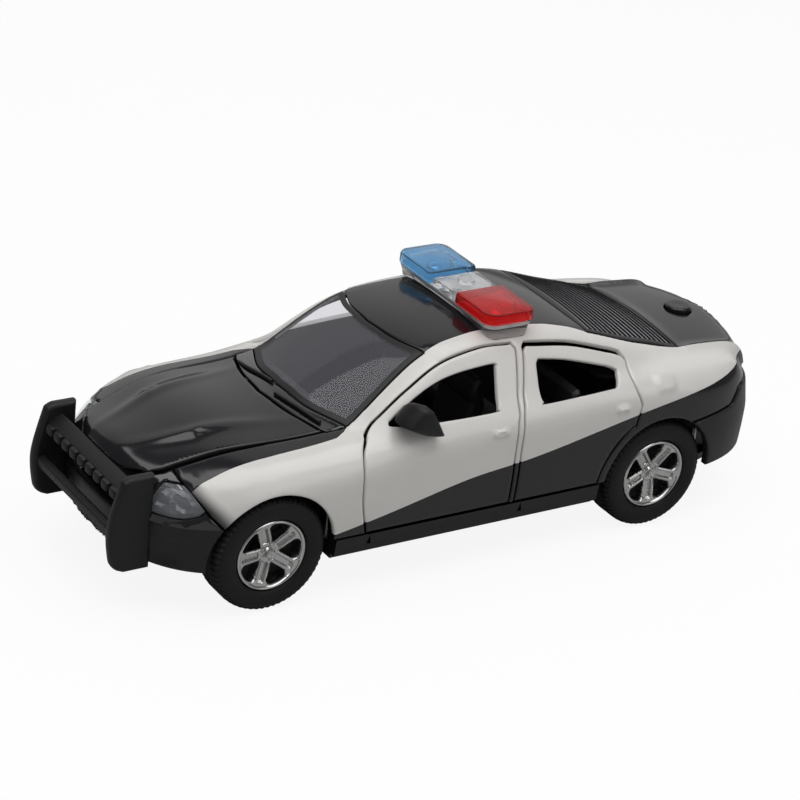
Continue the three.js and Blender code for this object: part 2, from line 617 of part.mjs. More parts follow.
const frontDoor = door(frontDoorLine, frontWindowLine, FRONT_PIVOT_X);
const rearDoor = door(rearDoorLine, rearWindowLine, REAR_PIVOT_X);

// Door mirror, on the driver's side only: a stalk at the sail corner and a tapering housing
const outerGrown = bodySolid(TRIM_FIT, SILL_HEIGHT, STATIONS, RAYS);
function mirrorHousing() {
  const middle = [FRONT - 31.2, cabinHeight(0.15)];
  const outline = [[4.6, -0.4], [1.6, 3.4], [-0.6, 4], [-4.9, -3.6], [-0.6, -2.9]];
  const from = sideAt(...middle);
  const slices = [[0.3, 0.5, 0], [2, 0.85, 0.2], [4.4, 1, 0.8], [6.4, 0.92, 1.2], [7.4, 0.7, 1.6]];
  const rings = slices.map(([out, size, back]) =>
    outline.map(([x, z]) => [middle[0] + x * size - back, from + out, middle[1] + z * size]));
  return loft(rings).subtract(outerGrown);
}
addPair("front_door", frontDoor, WHITE_PAINT, 0.3);
addPair("rear_door", rearDoor, WHITE_PAINT, 0.3);
add("mirror_left", mirrorHousing(), SATIN_BLACK, 0.7);

// Hood panel
add("hood", shell.intersect(topPrism(hoodLine)), BLACK_PAINT, 0.3);

// Glass, cowl with wipers
const GLASS_THICKNESS = 1.1;
const glassSkin = outer.subtract(insetBody(GLASS_THICKNESS));
add("windscreen", glassSkin.intersect(topPrism(windscreenLine, SCREEN_LOW)), CLEAR, 0.05);
add("rear_window", glassSkin.intersect(topPrism(rearGlassLine, REAR_GLASS_LOW)), 0x55555a, 0.35);
function wiper(y, reach) {
  const points = [[0, 0], [0.25, 0.3], [0.5, 0.62], [0.75, 0.85], [1, 1]].map(([t, s]) => {
    const x = GLASS_BASE + 2.2 - 1.6 * s - 0.006 * (y + reach * t) ** 2;
    return new THREE.Vector3(x, y + reach * t, topAt(x, y + reach * t) + 0.25);
  });
  const section = polygon(arc(0, 0, 0.5, 0, Math.PI * 1.5, 3));
  const path = new THREE.CatmullRomCurve3(points);
  return solid(new THREE.ExtrudeGeometry(section, { steps: 5, extrudePath: path }));
}
function cowl() {
  const panel = shell.intersect(topPrism(cowlLine, COWL_LOW));
  return [wiper(-14, 13), wiper(3, 13)].reduce((made, arm) => made.add(arm), panel);
}
add("cowl_panel", cowl(), BLACK_PAINT, 0.25);

// Front bumper, lamps and grille
function frontBumper() {
  const cuts = [
    hoodOpening, archCut, bothSides(lampRegion(lampLine, LAMP_INNER, TRIM_FIT)),
    frontBox(GRILLE_HALF, GRILLE_LOW, GRILLE_HIGH), frontBox(INTAKE_HALF, INTAKE_LOW, INTAKE_HIGH),
  ];
  return cuts.reduce((made, cut) => made.subtract(cut), shell.intersect(frontRegion));
}
add("front_bumper", frontBumper(), SATIN_BLACK, 0.45);
const headlight = shell.intersect(lampRegion(lampLine, LAMP_INNER, 0)).subtract(hoodOpening);
addPair("headlight", headlight, CLEAR, 0.05);
const reflectorOuter = insetBody(SHELL_WALL + FIT);
const REFLECTOR_DEPTH = 2;
const reflectorInner = insetBody(SHELL_WALL + FIT + REFLECTOR_DEPTH);
const REFLECTOR_REACH = 2.4; // how far it goes in behind the bumper's skin
const reflectorRegion = lampRegion(lampLine, LAMP_INNER - REFLECTOR_REACH, -FIT);
const reflector = reflectorOuter.subtract(reflectorInner).intersect(reflectorRegion);
addPair("headlight_reflector", reflector.subtract(hoodOpening), CHROME, 0.2, 1);

// The grille is a slotted plate that follows the inside of the bumper's skin
const GRILLE_SLOTS = 3;
const GRILLE_PLATE = 1.2;
const GRILLE_LAP = 0.8; // how far the plate reaches behind the bumper's skin
function grillePlate() {
  const pitch = (GRILLE_HIGH - GRILLE_LOW) / GRILLE_SLOTS;
  const reach = GRILLE_HALF + GRILLE_LAP;
  const behind = (x, y) => bodyField(x + 2 * SHELL_WALL + FIT, Math.abs(y), GRILLE_HIGH) < -SHELL_WALL;
  const front = [-1, -0.7, -0.35, 0, 0.35, 0.7, 1].map((share) => {
    const y = share * reach;
    return [edgeOf((x) => behind(x, y), FRONT, NOSE), y];
  });
  const plan = polygon([...front, ...front.map(([x, y]) => [x - GRILLE_PLATE, y]).reverse()]);
  const plate = upPrism(plan, GRILLE_LOW - GRILLE_LAP, GRILLE_HIGH - 2 * FIT);
  const slots = Array.from({ length: GRILLE_SLOTS }, (_, i) => {
    const low = GRILLE_LOW + pitch * (i + 0.25);
    return bothSides(block([FRONT, 0.6, low], [NOSE, GRILLE_HALF - 0.5, low + pitch / 2]));
  });
  return slots.reduce((made, slot) => made.subtract(slot), plate);
}
add("grille", grillePlate(), SATIN_BLACK, 0.5);

// Rear bumper stands proud of the tail
function rearBumper() {
  const proud = bodySolid(BUMPER_PROUD, BUMPER_FOOT - 3, INNER_STATIONS, INNER_RAYS);
  const cutInner = insetBody(SHELL_WALL, BUMPER_FOOT - 5);
  return proud.subtract(cutInner).intersect(rearRegion).subtract(archCut);
}
add("rear_bumper", rearBumper(), SATIN_BLACK, 0.45);
addPair("tail_light", shell.intersect(lampRegion(tailLampLine, TAIL_LAMP_INNER, 0)), 0x8c1414, 0.1);

// Push bar: two side wings, a toothed upper beam and a lower bar, moulded in one
const PUSH_FRONT = FRONT + PUSH_BAR_REACH;
const PUSH_LOW = SILL_HEIGHT + 0.2;
const PUSH_HIGH = PUSH_LOW + PUSH_BAR_HEIGHT;
const BEAM_HIGH = PUSH_HIGH - 1.6;
const WING_REAR = FRONT + WING_ROOT;
const outerGrownNose = bodySolid(FIT, BUMPER_FOOT - 3, STATIONS, RAYS);
function pushBar() {
  const wing = polygon([
    [WING_REAR, PUSH_HIGH], [PUSH_FRONT - 3.9, PUSH_HIGH], ...through([
      [PUSH_FRONT - 2.8, PUSH_HIGH - 0.6], [PUSH_FRONT - 2.1, PUSH_HIGH - 2], [PUSH_FRONT, PUSH_LOW + 10.2],
      [PUSH_FRONT - 0.5, PUSH_LOW + 3.4], [PUSH_FRONT - 1.5, PUSH_LOW + 1.1], [PUSH_FRONT - 3.6, PUSH_LOW],
    ], 9),
    [WING_REAR, PUSH_LOW],
  ]);
  const wingMid = WING_SPACING / 2;
  const wings = bothSides(acrossPrism(wing, wingMid - WING_THICKNESS / 2, wingMid + WING_THICKNESS / 2));
  const beamLine = polygon([
    [PUSH_FRONT - 2.9, BEAM_HIGH - 2], [PUSH_FRONT - 2.5, BEAM_HIGH - 4], [PUSH_FRONT - 4.4, BEAM_HIGH - 3.8],
    [PUSH_FRONT - 6, BEAM_HIGH - 2.2], [PUSH_FRONT - 6, BEAM_HIGH - 0.4],
  ]);
  const beam = acrossPrism(beamLine, -wingMid, wingMid);
  const barLine = polygon([
    [PUSH_FRONT - 2.8, PUSH_LOW + 7], [PUSH_FRONT - 0.9, PUSH_LOW + 7.4], [PUSH_FRONT - 0.6, PUSH_LOW + 9.4],
    [PUSH_FRONT - 2.4, PUSH_LOW + 10],
  ]);
  const bar = acrossPrism(barLine, -wingMid, wingMid);
  const span = WING_SPACING - WING_THICKNESS;
  const pitch = span / BEAM_TEETH;
  const teeth = Array.from({ length: BEAM_TEETH }, (_, i) => {
    const y = -span / 2 + pitch * (i + 0.5);
    const half = pitch * 0.38;
    return block([PUSH_FRONT - 3.3, y - half, BEAM_HIGH - 4.2], [PUSH_FRONT - 1.9, y + half, BEAM_HIGH - 2.2]);
  });
  const keepClear = outerGrownNose.add(hoodOpening);
  return [wings, bar, ...teeth].reduce((made, piece) => made.add(piece), beam).subtract(keepClear);
}
add("push_bar", pushBar(), SATIN_BLACK, 0.75);

// Roof light bar: a clear base that follows the roof, two coloured lenses, and a lamp under each
const BAR_FRONT = -5.4;
const BAR_REAR = BAR_FRONT - BAR_LENGTH;
const BAR_FOOT = ROOF_HEIGHT - 1.2;
const BAR_BASE_TOP = ROOF_HEIGHT + BAR_BASE_HEIGHT - 1;
const LENS_TOP = BAR_BASE_TOP + LENS_HEIGHT - 0.9;
const barPlan = (inset) => grown(bothHalves([
  [BAR_FRONT, 0], ...arc(BAR_FRONT - BAR_CORNER, BAR_SPAN / 2 - BAR_CORNER, BAR_CORNER, 0, Math.PI / 2, 3),
  ...arc(BAR_REAR + BAR_CORNER, BAR_SPAN / 2 - BAR_CORNER, BAR_CORNER, Math.PI / 2, Math.PI, 3), [BAR_REAR, 0],
]), -inset);
const plateLoft = (levels) => loft(levels.map(([z, inset]) => barPlan(inset).map(([x, y]) => [x, y, z])));
const LAMP_DOME = 1.5;
const LAMP_Y = BAR_SPAN / 2 - LENS_REACH / 2;
const BAR_MIDDLE = (BAR_FRONT + BAR_REAR) / 2;
const barLens = plateLoft([[BAR_BASE_TOP, 0], [LENS_TOP - 0.7, 0.2], [LENS_TOP, 1]]);
const lensSide = block([BAR_REAR - 2, BAR_SPAN / 2 - LENS_REACH, 0], [BAR_FRONT + 2, OUTSIDE, OVERHEAD]);
const LENS_WALL = 0.9;
const lensHollow = plateLoft([[BAR_BASE_TOP - 1, LENS_WALL], [LENS_TOP - LENS_WALL, LENS_WALL + 0.3]])
  .intersect(block([BAR_REAR, BAR_SPAN / 2 - LENS_REACH + LENS_WALL, 0], [BAR_FRONT, OUTSIDE, OVERHEAD]));
const lens = barLens.intersect(lensSide).subtract(lensHollow);
const lampDome = turned(
  [[0, 0], [LAMP_DOME, 0], [LAMP_DOME, 1.2], [LAMP_DOME * 0.6, 2.1], [0, 2.4]], 10)
  .rotateX(Math.PI / 2).translate(BAR_MIDDLE, LAMP_Y, BAR_BASE_TOP - 1.4);
function lightbarBase() {
  const lower = plateLoft([[BAR_FOOT, 0.9], [ROOF_HEIGHT + 0.2, 0.6], [BAR_BASE_TOP - FIT, 0.3]]);
  const middleHalf = BAR_SPAN / 2 - LENS_REACH - TRIM_FIT;
  const middle = plateLoft([[BAR_BASE_TOP - 1, 0.5], [LENS_TOP - 1.2, 0.7], [LENS_TOP - 0.7, 1.2]])
    .intersect(block([BAR_REAR, -middleHalf, 0], [BAR_FRONT, middleHalf, OVERHEAD]));
  const boss = upright(BAR_MIDDLE, 0, 1.9, BAR_BASE_TOP, LENS_TOP - 0.1, 14);
  const wells = bothSides(upright(BAR_MIDDLE, LAMP_Y, LAMP_DOME + FIT, BAR_BASE_TOP - 1.7, OVERHEAD, 10));
  return lower.add(middle).add(boss).subtract(wells).subtract(outerGrown);
}
add("lightbar_base", lightbarBase(), CLEAR, 0.08);
add("red_lens", lens, 0xc01818, 0.08);
add("blue_lens", mirroredSolid(lens), 0x2d5fd0, 0.08);
add("red_lamp", solid(lampDome), 0xd04040, 0.2);
add("blue_lamp", mirroredSolid(solid(lampDome)), 0x4060d0, 0.2);

// Chassis plate with the sills, axle saddles, and openings for the cells and the speaker
const SPEAKER_X = 6;
const SILL_TOP = DOOR_SILL - FIT;
const SILL_FRONT = FRONT - 14.5;
const SILL_REAR = REAR + 15.2;
const SCREW_SINK = 0.9; // how deep the screw heads sit in the plate
function chassis() {
  const nose = NOSE - 5;
  const waist = WHEEL_INNER - 1.4; // between the wheels
  const plan = bothHalves([
    [nose, 0], [nose, LAMP_INNER - 6], [FRONT + 14.5, waist], [SILL_FRONT, waist],
    [SILL_FRONT, HALF_WIDTH - 2.6], [SILL_REAR, HALF_WIDTH - 2.6], [SILL_REAR, waist], [REAR - 13, waist],
    [REAR - 13.4, COVER_HALF + 5.9], [TAIL + 12, COVER_HALF + 3.5], [TAIL + 6.6, COVER_HALF + 0.9],
    [TAIL + 6.6, 0],
  ]);
  const plate = upPrism(polygon(plan), CHASSIS_FLOOR, CHASSIS_TOP);
  const sillLine = polygon([
    [HALF_WIDTH - 4, SILL_HEIGHT], [halfWidth(0, SILL_HEIGHT), SILL_HEIGHT],
    [halfWidth(0, SILL_TOP), SILL_TOP], [HALF_WIDTH - 4, SILL_TOP],
  ]);
  const sills = bothSides(alongPrism(sillLine, SILL_REAR, SILL_FRONT));
  const saddles = [FRONT, REAR].flatMap((x) => [-1, 1].map((s) => {
    const y = s * (WHEEL_INNER - 3.4);
    return block([x - 3, y - 1.6, CHASSIS_TOP - 0.5], [x + 3, y + 1.6, TYRE_RADIUS + 2.6]);
  }));
  const axleHoles = [FRONT, REAR].map((x) =>
    crosswise(x, TYRE_RADIUS, AXLE_RADIUS + AXLE_FIT, -OUTSIDE, OUTSIDE, 10));
  const bay = block(
    [CELL_X - COVER_LENGTH / 2, -COVER_HALF, 0], [CELL_X + COVER_LENGTH / 2, COVER_HALF, CHASSIS_TOP + 1]);
  const soundHoles = [0, 1, 2, 3, 4, 5].map((k) => {
    const angle = (k * Math.PI) / 3;
    return upright(SPEAKER_X + 4.5 * Math.cos(angle), 4.5 * Math.sin(angle), 0.9, 0, CHASSIS_TOP + 1, 6);
  });
  const screwHoles = POSTS.map(([x, y]) =>
    upright(x, y, SCREW_RADIUS + 0.2, 0, 20, 6)
      .add(upright(x, y, SCREW_HEAD_RADIUS + 0.2, 0, CHASSIS_FLOOR + SCREW_SINK, 8)))
    .map(bothSides);
  const pinSockets = [FRONT_PIVOT_X, REAR_PIVOT_X].map((x) =>
    bothSides(upright(x, PIVOT_Y, PIN_RADIUS + 0.2, PIN_LOW - 0.3, 20, 6)));
  const solids = [sills, ...saddles].reduce((made, piece) => made.add(piece), plate);
  const holes = [...axleHoles, bay, ...soundHoles, ...screwHoles, ...pinSockets];
  return holes.reduce((made, hole) => made.subtract(hole), solids);
}
add("chassis_plate", chassis(), SATIN_BLACK, 0.7);

// Screws up through the chassis into the shell's posts
function screw(x, y) {
  const low = CHASSIS_FLOOR + 0.05;
  const neck = CHASSIS_FLOOR + SCREW_SINK - 0.1;
  const tip = POST_FOOT + SCREW_REACH - 0.4;
  const profile = [
    [0, low], [SCREW_HEAD_RADIUS, low], [SCREW_HEAD_RADIUS, neck], [SCREW_RADIUS, neck],
    [SCREW_RADIUS, tip - 0.6], [0, tip],
  ];
  return solid(turned(profile, 8).rotateX(Math.PI / 2).translate(x, y, 0));
}
POSTS.forEach(([x, y], i) => addPair(["front_screw", "rear_screw"][i], screw(x, y), CHROME, 0.4, 1));

// Cells, their cover and the electronics
const COVER_PLATE = 1.2;
const CELL_FOOT = CHASSIS_FLOOR + COVER_PLATE + FIT;
const cover = block(
  [CELL_X - COVER_LENGTH / 2 + FIT, -COVER_HALF + FIT, CHASSIS_FLOOR],
  [CELL_X + COVER_LENGTH / 2 - FIT, COVER_HALF - FIT, CHASSIS_FLOOR + COVER_PLATE]);
const thumbSlot = block([CELL_X + 3, -2, 0], [CELL_X + 4, 2, CHASSIS_FLOOR + 0.5]);
add("battery_cover", cover.subtract(thumbSlot), SATIN_BLACK, 0.7);
[-1, 0, 1].forEach((k) => {
  const profile = [
    [0, 0], [CELL_RADIUS - 0.9, 0], [CELL_RADIUS, 0.5], [CELL_RADIUS, CELL_HEIGHT], [0, CELL_HEIGHT],
  ];
  const cell = turned(profile, 14).rotateX(Math.PI / 2).translate(CELL_X, k * CELL_PITCH, CELL_FOOT);
  add(`button_cell_${k + 2}`, solid(cell), CHROME, 0.3, 1);
});
const HOLDER_ROOF = CELL_FOOT + CELL_HEIGHT + FIT;
function batteryHolder() {
  const wall = 1;
  const halfLength = COVER_LENGTH / 2 + 0.6;
  const halfSpan = COVER_HALF + HOLDER_LIP;
  const boxAt = (inset, low, high) => block(
    [CELL_X - halfLength + inset, -halfSpan + inset, low],
    [CELL_X + halfLength - inset, halfSpan - inset, high]);
  return boxAt(0, CHASSIS_TOP + FIT, HOLDER_ROOF + wall).subtract(boxAt(wall, 0, HOLDER_ROOF));
}
add("battery_holder", batteryHolder(), SATIN_BLACK, 0.7);
const BOARD_THICKNESS = 1;
const board = block([BUTTON_X - 4, -11, BOARD_TOP - BOARD_THICKNESS], [BUTTON_X + 9, 11, BOARD_TOP]);
add("circuit_board", board, 0x1f5b38, 0.5);
const SWITCH_HEIGHT = 1.7;
const SWITCH_HALF = 2;
const SWITCH_TOP = BOARD_TOP + SWITCH_HEIGHT;
const switchBody = block(
  [BUTTON_X - SWITCH_HALF, -SWITCH_HALF, BOARD_TOP + 0.05],
  [BUTTON_X + SWITCH_HALF, SWITCH_HALF, SWITCH_TOP - 0.5]);
const plunger = upright(BUTTON_X, 0, 1, BOARD_TOP + 0.5, SWITCH_TOP, 12);
add("button_switch", switchBody.add(plunger), 0x2a2a2c, 0.5);
const STEM_RADIUS = 1.2;
const buttonTop = deckHeight + 1.1;
const buttonTip = SWITCH_TOP + BUTTON_TRAVEL + 0.1;
const buttonFlange = deckHeight - SHELL_WALL - topCrown(BUTTON_X) - 5 * FIT;
const buttonProfile = [
  [0, buttonTip], [STEM_RADIUS, buttonTip], [STEM_RADIUS, buttonFlange - 0.7],
  [BUTTON_RADIUS + 1, buttonFlange - 0.7], [BUTTON_RADIUS + 1, buttonFlange], [BUTTON_RADIUS, buttonFlange],
  [BUTTON_RADIUS, buttonTop - 0.4], [BUTTON_RADIUS - 0.4, buttonTop], [0, buttonTop],
];
const button = turned(buttonProfile, 14).rotateX(Math.PI / 2).translate(BUTTON_X, 0, 0);
add("light_button", solid(button), BLACK_PAINT, 0.4);
const SPEAKER_HEIGHT = 2.4;
const speakerProfile = [
  [0, 0], [SPEAKER_RADIUS, 0], [SPEAKER_RADIUS, 0.8], [SPEAKER_RADIUS - 3, SPEAKER_HEIGHT / 2],
  [SPEAKER_RADIUS - 4, SPEAKER_HEIGHT], [0, SPEAKER_HEIGHT],
];
const speaker = turned(speakerProfile, 16).rotateX(Math.PI / 2).translate(SPEAKER_X, 0, CHASSIS_TOP + FIT);
add("speaker", solid(speaker), 0x303034, 0.5, 0.4);

// Pull-back motor round the rear axle
const MOTOR_HALF = 9;
const MOTOR_LENGTH = 18;
const motorLine = [
  [REAR - 6, CHASSIS_TOP + FIT], [REAR + MOTOR_LENGTH - 6, CHASSIS_TOP + FIT],
  ...arc(REAR + MOTOR_LENGTH - 10, 18.5, 4, 0, Math.PI / 2, 3), [REAR - 4.5, 22.5], [REAR - 6, 21],
];
const motor = acrossPrism(polygon(motorLine), -MOTOR_HALF, MOTOR_HALF)
  .subtract(crosswise(REAR, TYRE_RADIUS, AXLE_RADIUS + AXLE_FIT, -OUTSIDE, OUTSIDE, 10));
add("pullback_motor", motor, 0x4a4a4e, 0.5);

// Interior tub, seats, dashboard and steering wheel
const TUB_FRONT = SILL_FRONT - 0.7;
const TUB_REAR = SILL_REAR;
const TUNNEL_HALF = 3;
const TUB_RIM = 17.5;
function tub() {
  const half = TUB_WIDTH / 2;
  const boxAt = (inset, low, high, across = half - inset) =>
    block([TUB_REAR + inset, -across, low], [TUB_FRONT - inset, across, high]);
  const box = boxAt(0, TUB_FLOOR, TUB_RIM);
  const room = boxAt(TUB_WALL, TUB_FLOOR + TUB_WALL, OVERHEAD);
  const tunnel = boxAt(TUB_WALL / 2, TUB_FLOOR + 0.5, TUB_RIM, TUNNEL_HALF);
  const legs = [SPEAKER_X + 16, SPEAKER_X - 16].map((x) =>
    block([x - 3, -8, CHASSIS_TOP + FIT], [x + 3, 8, TUB_FLOOR + 0.5]));
  const clearance = bothSides(POSTS.map(([x, y]) => upright(x, y, POST_RADIUS + FIT, 0, OVERHEAD, 12))
    .reduce((a, b) => a.add(b)));
  return [tunnel, ...legs].reduce((made, piece) => made.add(piece), box.subtract(room)).subtract(clearance);
}
add("interior_tub", tub(), 0x1b1b1d, 0.8);
const SEAT_FOOT = TUB_FLOOR + TUB_WALL + FIT;
const seatLine = (x, lift) => [
  [x - 6.4, SEAT_FOOT], [x + 6, SEAT_FOOT], ...through([
    [x + 6.6, SEAT_FOOT + 3.5], [x + 4.5, SEAT_FOOT + 5.4], [x - 2.2, SEAT_FOOT + 4.8],
    [x - 4.2, SEAT_FOOT + 9], [x - 6.2, SEAT_FOOT + lift - 5.2],
  ], 9),
  ...through([
    [x - 5.8, SEAT_FOOT + lift - 4.6], [x - 6.4, SEAT_FOOT + lift - 0.6], [x - 8.4, SEAT_FOOT + lift],
    [x - 9.4, SEAT_FOOT + lift - 4.4],
  ], 6),
  ...through([[x - 9.8, SEAT_FOOT + lift - 6], [x - 8.6, SEAT_FOOT + 9], [x - 7, SEAT_FOOT + 3]], 4),
];
const SEAT_LIFT = 22;
const BENCH_LIFT = 18.5;
const SEAT_EDGE = 0.8; // bevel round the seats' sides
function seat(x, middle, width, lift) {
  const shape = polygon(seatLine(x, lift));
  const bevel = { bevelThickness: SEAT_EDGE, bevelSize: 0.6, bevelOffset: -0.6, bevelSegments: 1 };
  const options = { depth: width - 2 * SEAT_EDGE, curveSegments: CURVE_STEPS, ...bevel };
  const made = new THREE.ExtrudeGeometry(shape, options).rotateX(Math.PI / 2);
  return solid(made.translate(0, middle + width / 2 - SEAT_EDGE, 0));
}
const FRONT_SEAT_X = 1.5;
addPair("front_seat", seat(FRONT_SEAT_X, SEAT_SPREAD / 2, SEAT_WIDTH, SEAT_LIFT), 0x1d1d20, 0.8);
const BENCH_X = TUB_REAR + 12.4;
const tunnelRoom = block([TUB_REAR, -TUNNEL_HALF - FIT, 0], [TUB_FRONT, TUNNEL_HALF + FIT, TUB_RIM + FIT]);
const bench = seat(BENCH_X, 0, TUB_WIDTH - 2 * TUB_WALL - 2 * FIT, BENCH_LIFT).subtract(tunnelRoom);
add("rear_bench", bench, 0x1d1d20, 0.8);

const DASH_HALF = HALF_WIDTH - 8.4;
const DASH_TOP = BELT_HEIGHT - 4.1;
const DASH_FRONT = TUB_FRONT - 0.2;
const DASH_REAR = FRONT - 25.5;
const VENTS = 4;
function dashboard() {
  const line = [
    [DASH_FRONT, TUB_RIM + FIT], [DASH_FRONT, DASH_TOP - 1.3], ...through([
      [DASH_FRONT - 1, DASH_TOP - 0.5], [DASH_REAR + 3, DASH_TOP], [DASH_REAR + 0.8, DASH_TOP - 0.9],
      [DASH_REAR, DASH_TOP - 3.5], [DASH_REAR + 1.6, DASH_TOP - 6.9],
    ], 8),
    [DASH_REAR + 4, TUB_RIM + FIT],
  ];
  const body = acrossPrism(polygon(line), -DASH_HALF, DASH_HALF);
  const pitch = (2 * DASH_HALF) / VENTS;
  const vents = Array.from({ length: VENTS }, (_, i) => {
    const y = -DASH_HALF + pitch * (i + 0.5);
    const half = pitch * 0.3;
    return block([DASH_FRONT - 4.4, y - half, DASH_TOP - 1.5], [DASH_FRONT - 1.6, y + half, OVERHEAD]);
  });
  const clearance = bothSides(upright(POSTS[0][0], POSTS[0][1], POST_RADIUS + FIT, 0, OVERHEAD, 12));
  return [...vents, clearance].reduce((made, cut) => made.subtract(cut), body);
}
const dash = dashboard();
add("dashboard", dash, 0x1b1b1d, 0.7);

const STEER_RADIUS = 5;
const STEER_TILT = THREE.MathUtils.degToRad(62);
function steeringWheel() {
  const rim = new THREE.TorusGeometry(STEER_RADIUS, 0.65, 4, 12);
  const hub = new THREE.CylinderGeometry(1.5, 1.5, 1.4, 8).rotateX(Math.PI / 2);
  const column = new THREE.CylinderGeometry(0.8, 0.8, 4.6, 6).rotateX(Math.PI / 2).translate(0, 0, 2.4);
  const spokes = [0, 1, 2].map((k) => {
    const arm = new THREE.BoxGeometry(STEER_RADIUS, 1.1, 0.7).translate(STEER_RADIUS / 2, 0, 0);
    return arm.rotateZ(Math.PI / 6 + (k * 2 * Math.PI) / 3);
  });
  const made = [hub, column, ...spokes].reduce((body, piece) => body.add(solid(piece)), solid(rim));
  const tilted = geometryOf(made).rotateZ(Math.PI / 2).rotateY(STEER_TILT);
  return solid(tilted.translate(DASH_REAR - 3.9, SEAT_SPREAD / 2, DASH_TOP - 4.3)).subtract(dash);
}
add("steering_wheel", steeringWheel(), 0x1b1b1d, 0.7);

// Engine under the hood, seated on the chassis between the axle saddles
const ENGINE_HALF = WHEEL_INNER - 6.4;
function engine() {
  const line = [
    [FRONT - 9, CHASSIS_TOP + FIT], [FRONT + 12, CHASSIS_TOP + FIT], [FRONT + 12, 20], ...through([
      [FRONT + 11, 23.4], [FRONT + 6, 25.4], [FRONT - 4, 26.6], [FRONT - 9, 26.2],
    ], 5),
  ];
  const body = acrossPrism(polygon(line), -ENGINE_HALF, ENGINE_HALF);
  const ribs = [-8, -4, 0, 4, 8].map((y) => block([FRONT - 6, y - 0.8, 22.6], [FRONT + 6, y + 0.8, 27.6]));
  const axleWay = crosswise(FRONT, TYRE_RADIUS, AXLE_RADIUS + 1.2, -OUTSIDE, OUTSIDE, 10);
  return ribs.reduce((made, rib) => made.add(rib), body).subtract(axleWay);
}
add("engine_block", engine(), 0x3a3a3e, 0.5, 0.3);

// Wheels: axle, spoked rims and grooved tyres
function axle() {
  return turned([[0, -WHEEL_MID], [AXLE_RADIUS, -WHEEL_MID], [AXLE_RADIUS, WHEEL_MID], [0, WHEEL_MID]], 10);
}
const RIM_FACE = WHEEL_FACE - 0.55;
const RIM_BACK = WHEEL_INNER + 0.8;
const SPOKE_DEPTH = 2.6;
const WHEEL_SIDES = 18;
function rim() {
  const barrel = solid(turned([
    [RIM_RADIUS - 1, RIM_BACK], [RIM_RADIUS, RIM_BACK], [RIM_RADIUS, RIM_FACE - 0.5],
    [RIM_RADIUS - 0.5, RIM_FACE], [RIM_RADIUS - 1, RIM_BACK],
  ], WHEEL_SIDES));
  const hub = solid(turned([
    [0, WHEEL_MID - 2], [HUB_RADIUS, WHEEL_MID - 2], [HUB_RADIUS, RIM_FACE - 0.9], [1.3, RIM_FACE - 0.7],
    [1, RIM_FACE - 0.1], [0, RIM_FACE],
  ], 8));
  const spokes = Array.from({ length: SPOKES }, (_, i) => {
    const line = polygon([[1.6, -1.45], [RIM_RADIUS - 0.6, -2.1], [RIM_RADIUS - 0.6, 2.1], [1.6, 1.45]]);
    const arm = plainExtrude(line, SPOKE_DEPTH).rotateZ((i * 2 * Math.PI) / SPOKES + Math.PI / 2);
    const made = arm.rotateX(-Math.PI / 2);
    return solid(made.translate(0, RIM_FACE - SPOKE_DEPTH - 0.3, 0));
  });
  const bore = AXLE_RADIUS + AXLE_FIT;
  const axleRoom = solid(turned([[0, 0], [bore, 0], [bore, WHEEL_MID + 0.2], [0, WHEEL_MID + 0.2]], 10));
  return [hub, ...spokes].reduce((made, piece) => made.add(piece), barrel).subtract(axleRoom);
}
const TREAD_GROOVE = 0.5;
function tyre() {
  const bead = RIM_RADIUS + 0.15;
  const half = [
    [bead, TYRE_WIDTH / 2 - 0.5], [TYRE_RADIUS - 2.4, TYRE_WIDTH / 2], [TYRE_RADIUS, TYRE_WIDTH / 2 - 1.4],
    [TYRE_RADIUS, 0.6],
  ];
  const groove = [[TYRE_RADIUS - TREAD_GROOVE, 0]];
  const profile = [...half.map(([r, y]) => [r, -y]), ...groove, ...[...half].reverse()];
  return solid(turned([...profile, profile[0]], WHEEL_SIDES).translate(0, WHEEL_MID, 0));
}
const wheelRim = rim();
const wheelTyre = tyre();
for (const [place, x] of [["front", FRONT], ["rear", REAR]]) {
  const at = (made) => solid(geometryOf(made).translate(x, 0, TYRE_RADIUS));
  add(`${place}_axle`, at(solid(axle())), CHROME, 0.3, 1);
  addPair(`${place}_rim`, at(wheelRim), CHROME, 0.2, 1);
  addPair(`${place}_tyre`, at(wheelTyre), 0x1a1a1b, 0.9);
}

export default car;
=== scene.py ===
import math
import bmesh
import bpy
import numpy as np
from mathutils import Matrix, Vector
from mathutils.geometry import delaunay_2d_cdt
from mathutils.kdtree import KDTree


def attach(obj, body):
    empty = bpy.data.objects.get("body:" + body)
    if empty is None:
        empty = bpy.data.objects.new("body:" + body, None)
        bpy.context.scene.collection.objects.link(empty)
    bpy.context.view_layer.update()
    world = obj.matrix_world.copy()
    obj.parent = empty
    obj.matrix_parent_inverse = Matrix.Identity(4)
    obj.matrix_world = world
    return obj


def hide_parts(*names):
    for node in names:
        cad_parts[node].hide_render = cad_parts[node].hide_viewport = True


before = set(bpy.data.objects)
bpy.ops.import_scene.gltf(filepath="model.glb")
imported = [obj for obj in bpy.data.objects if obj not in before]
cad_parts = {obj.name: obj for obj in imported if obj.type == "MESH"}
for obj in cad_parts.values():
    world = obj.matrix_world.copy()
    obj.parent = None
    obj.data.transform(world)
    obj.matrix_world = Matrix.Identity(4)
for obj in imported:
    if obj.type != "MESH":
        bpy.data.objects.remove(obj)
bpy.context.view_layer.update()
scene = bpy.context.scene

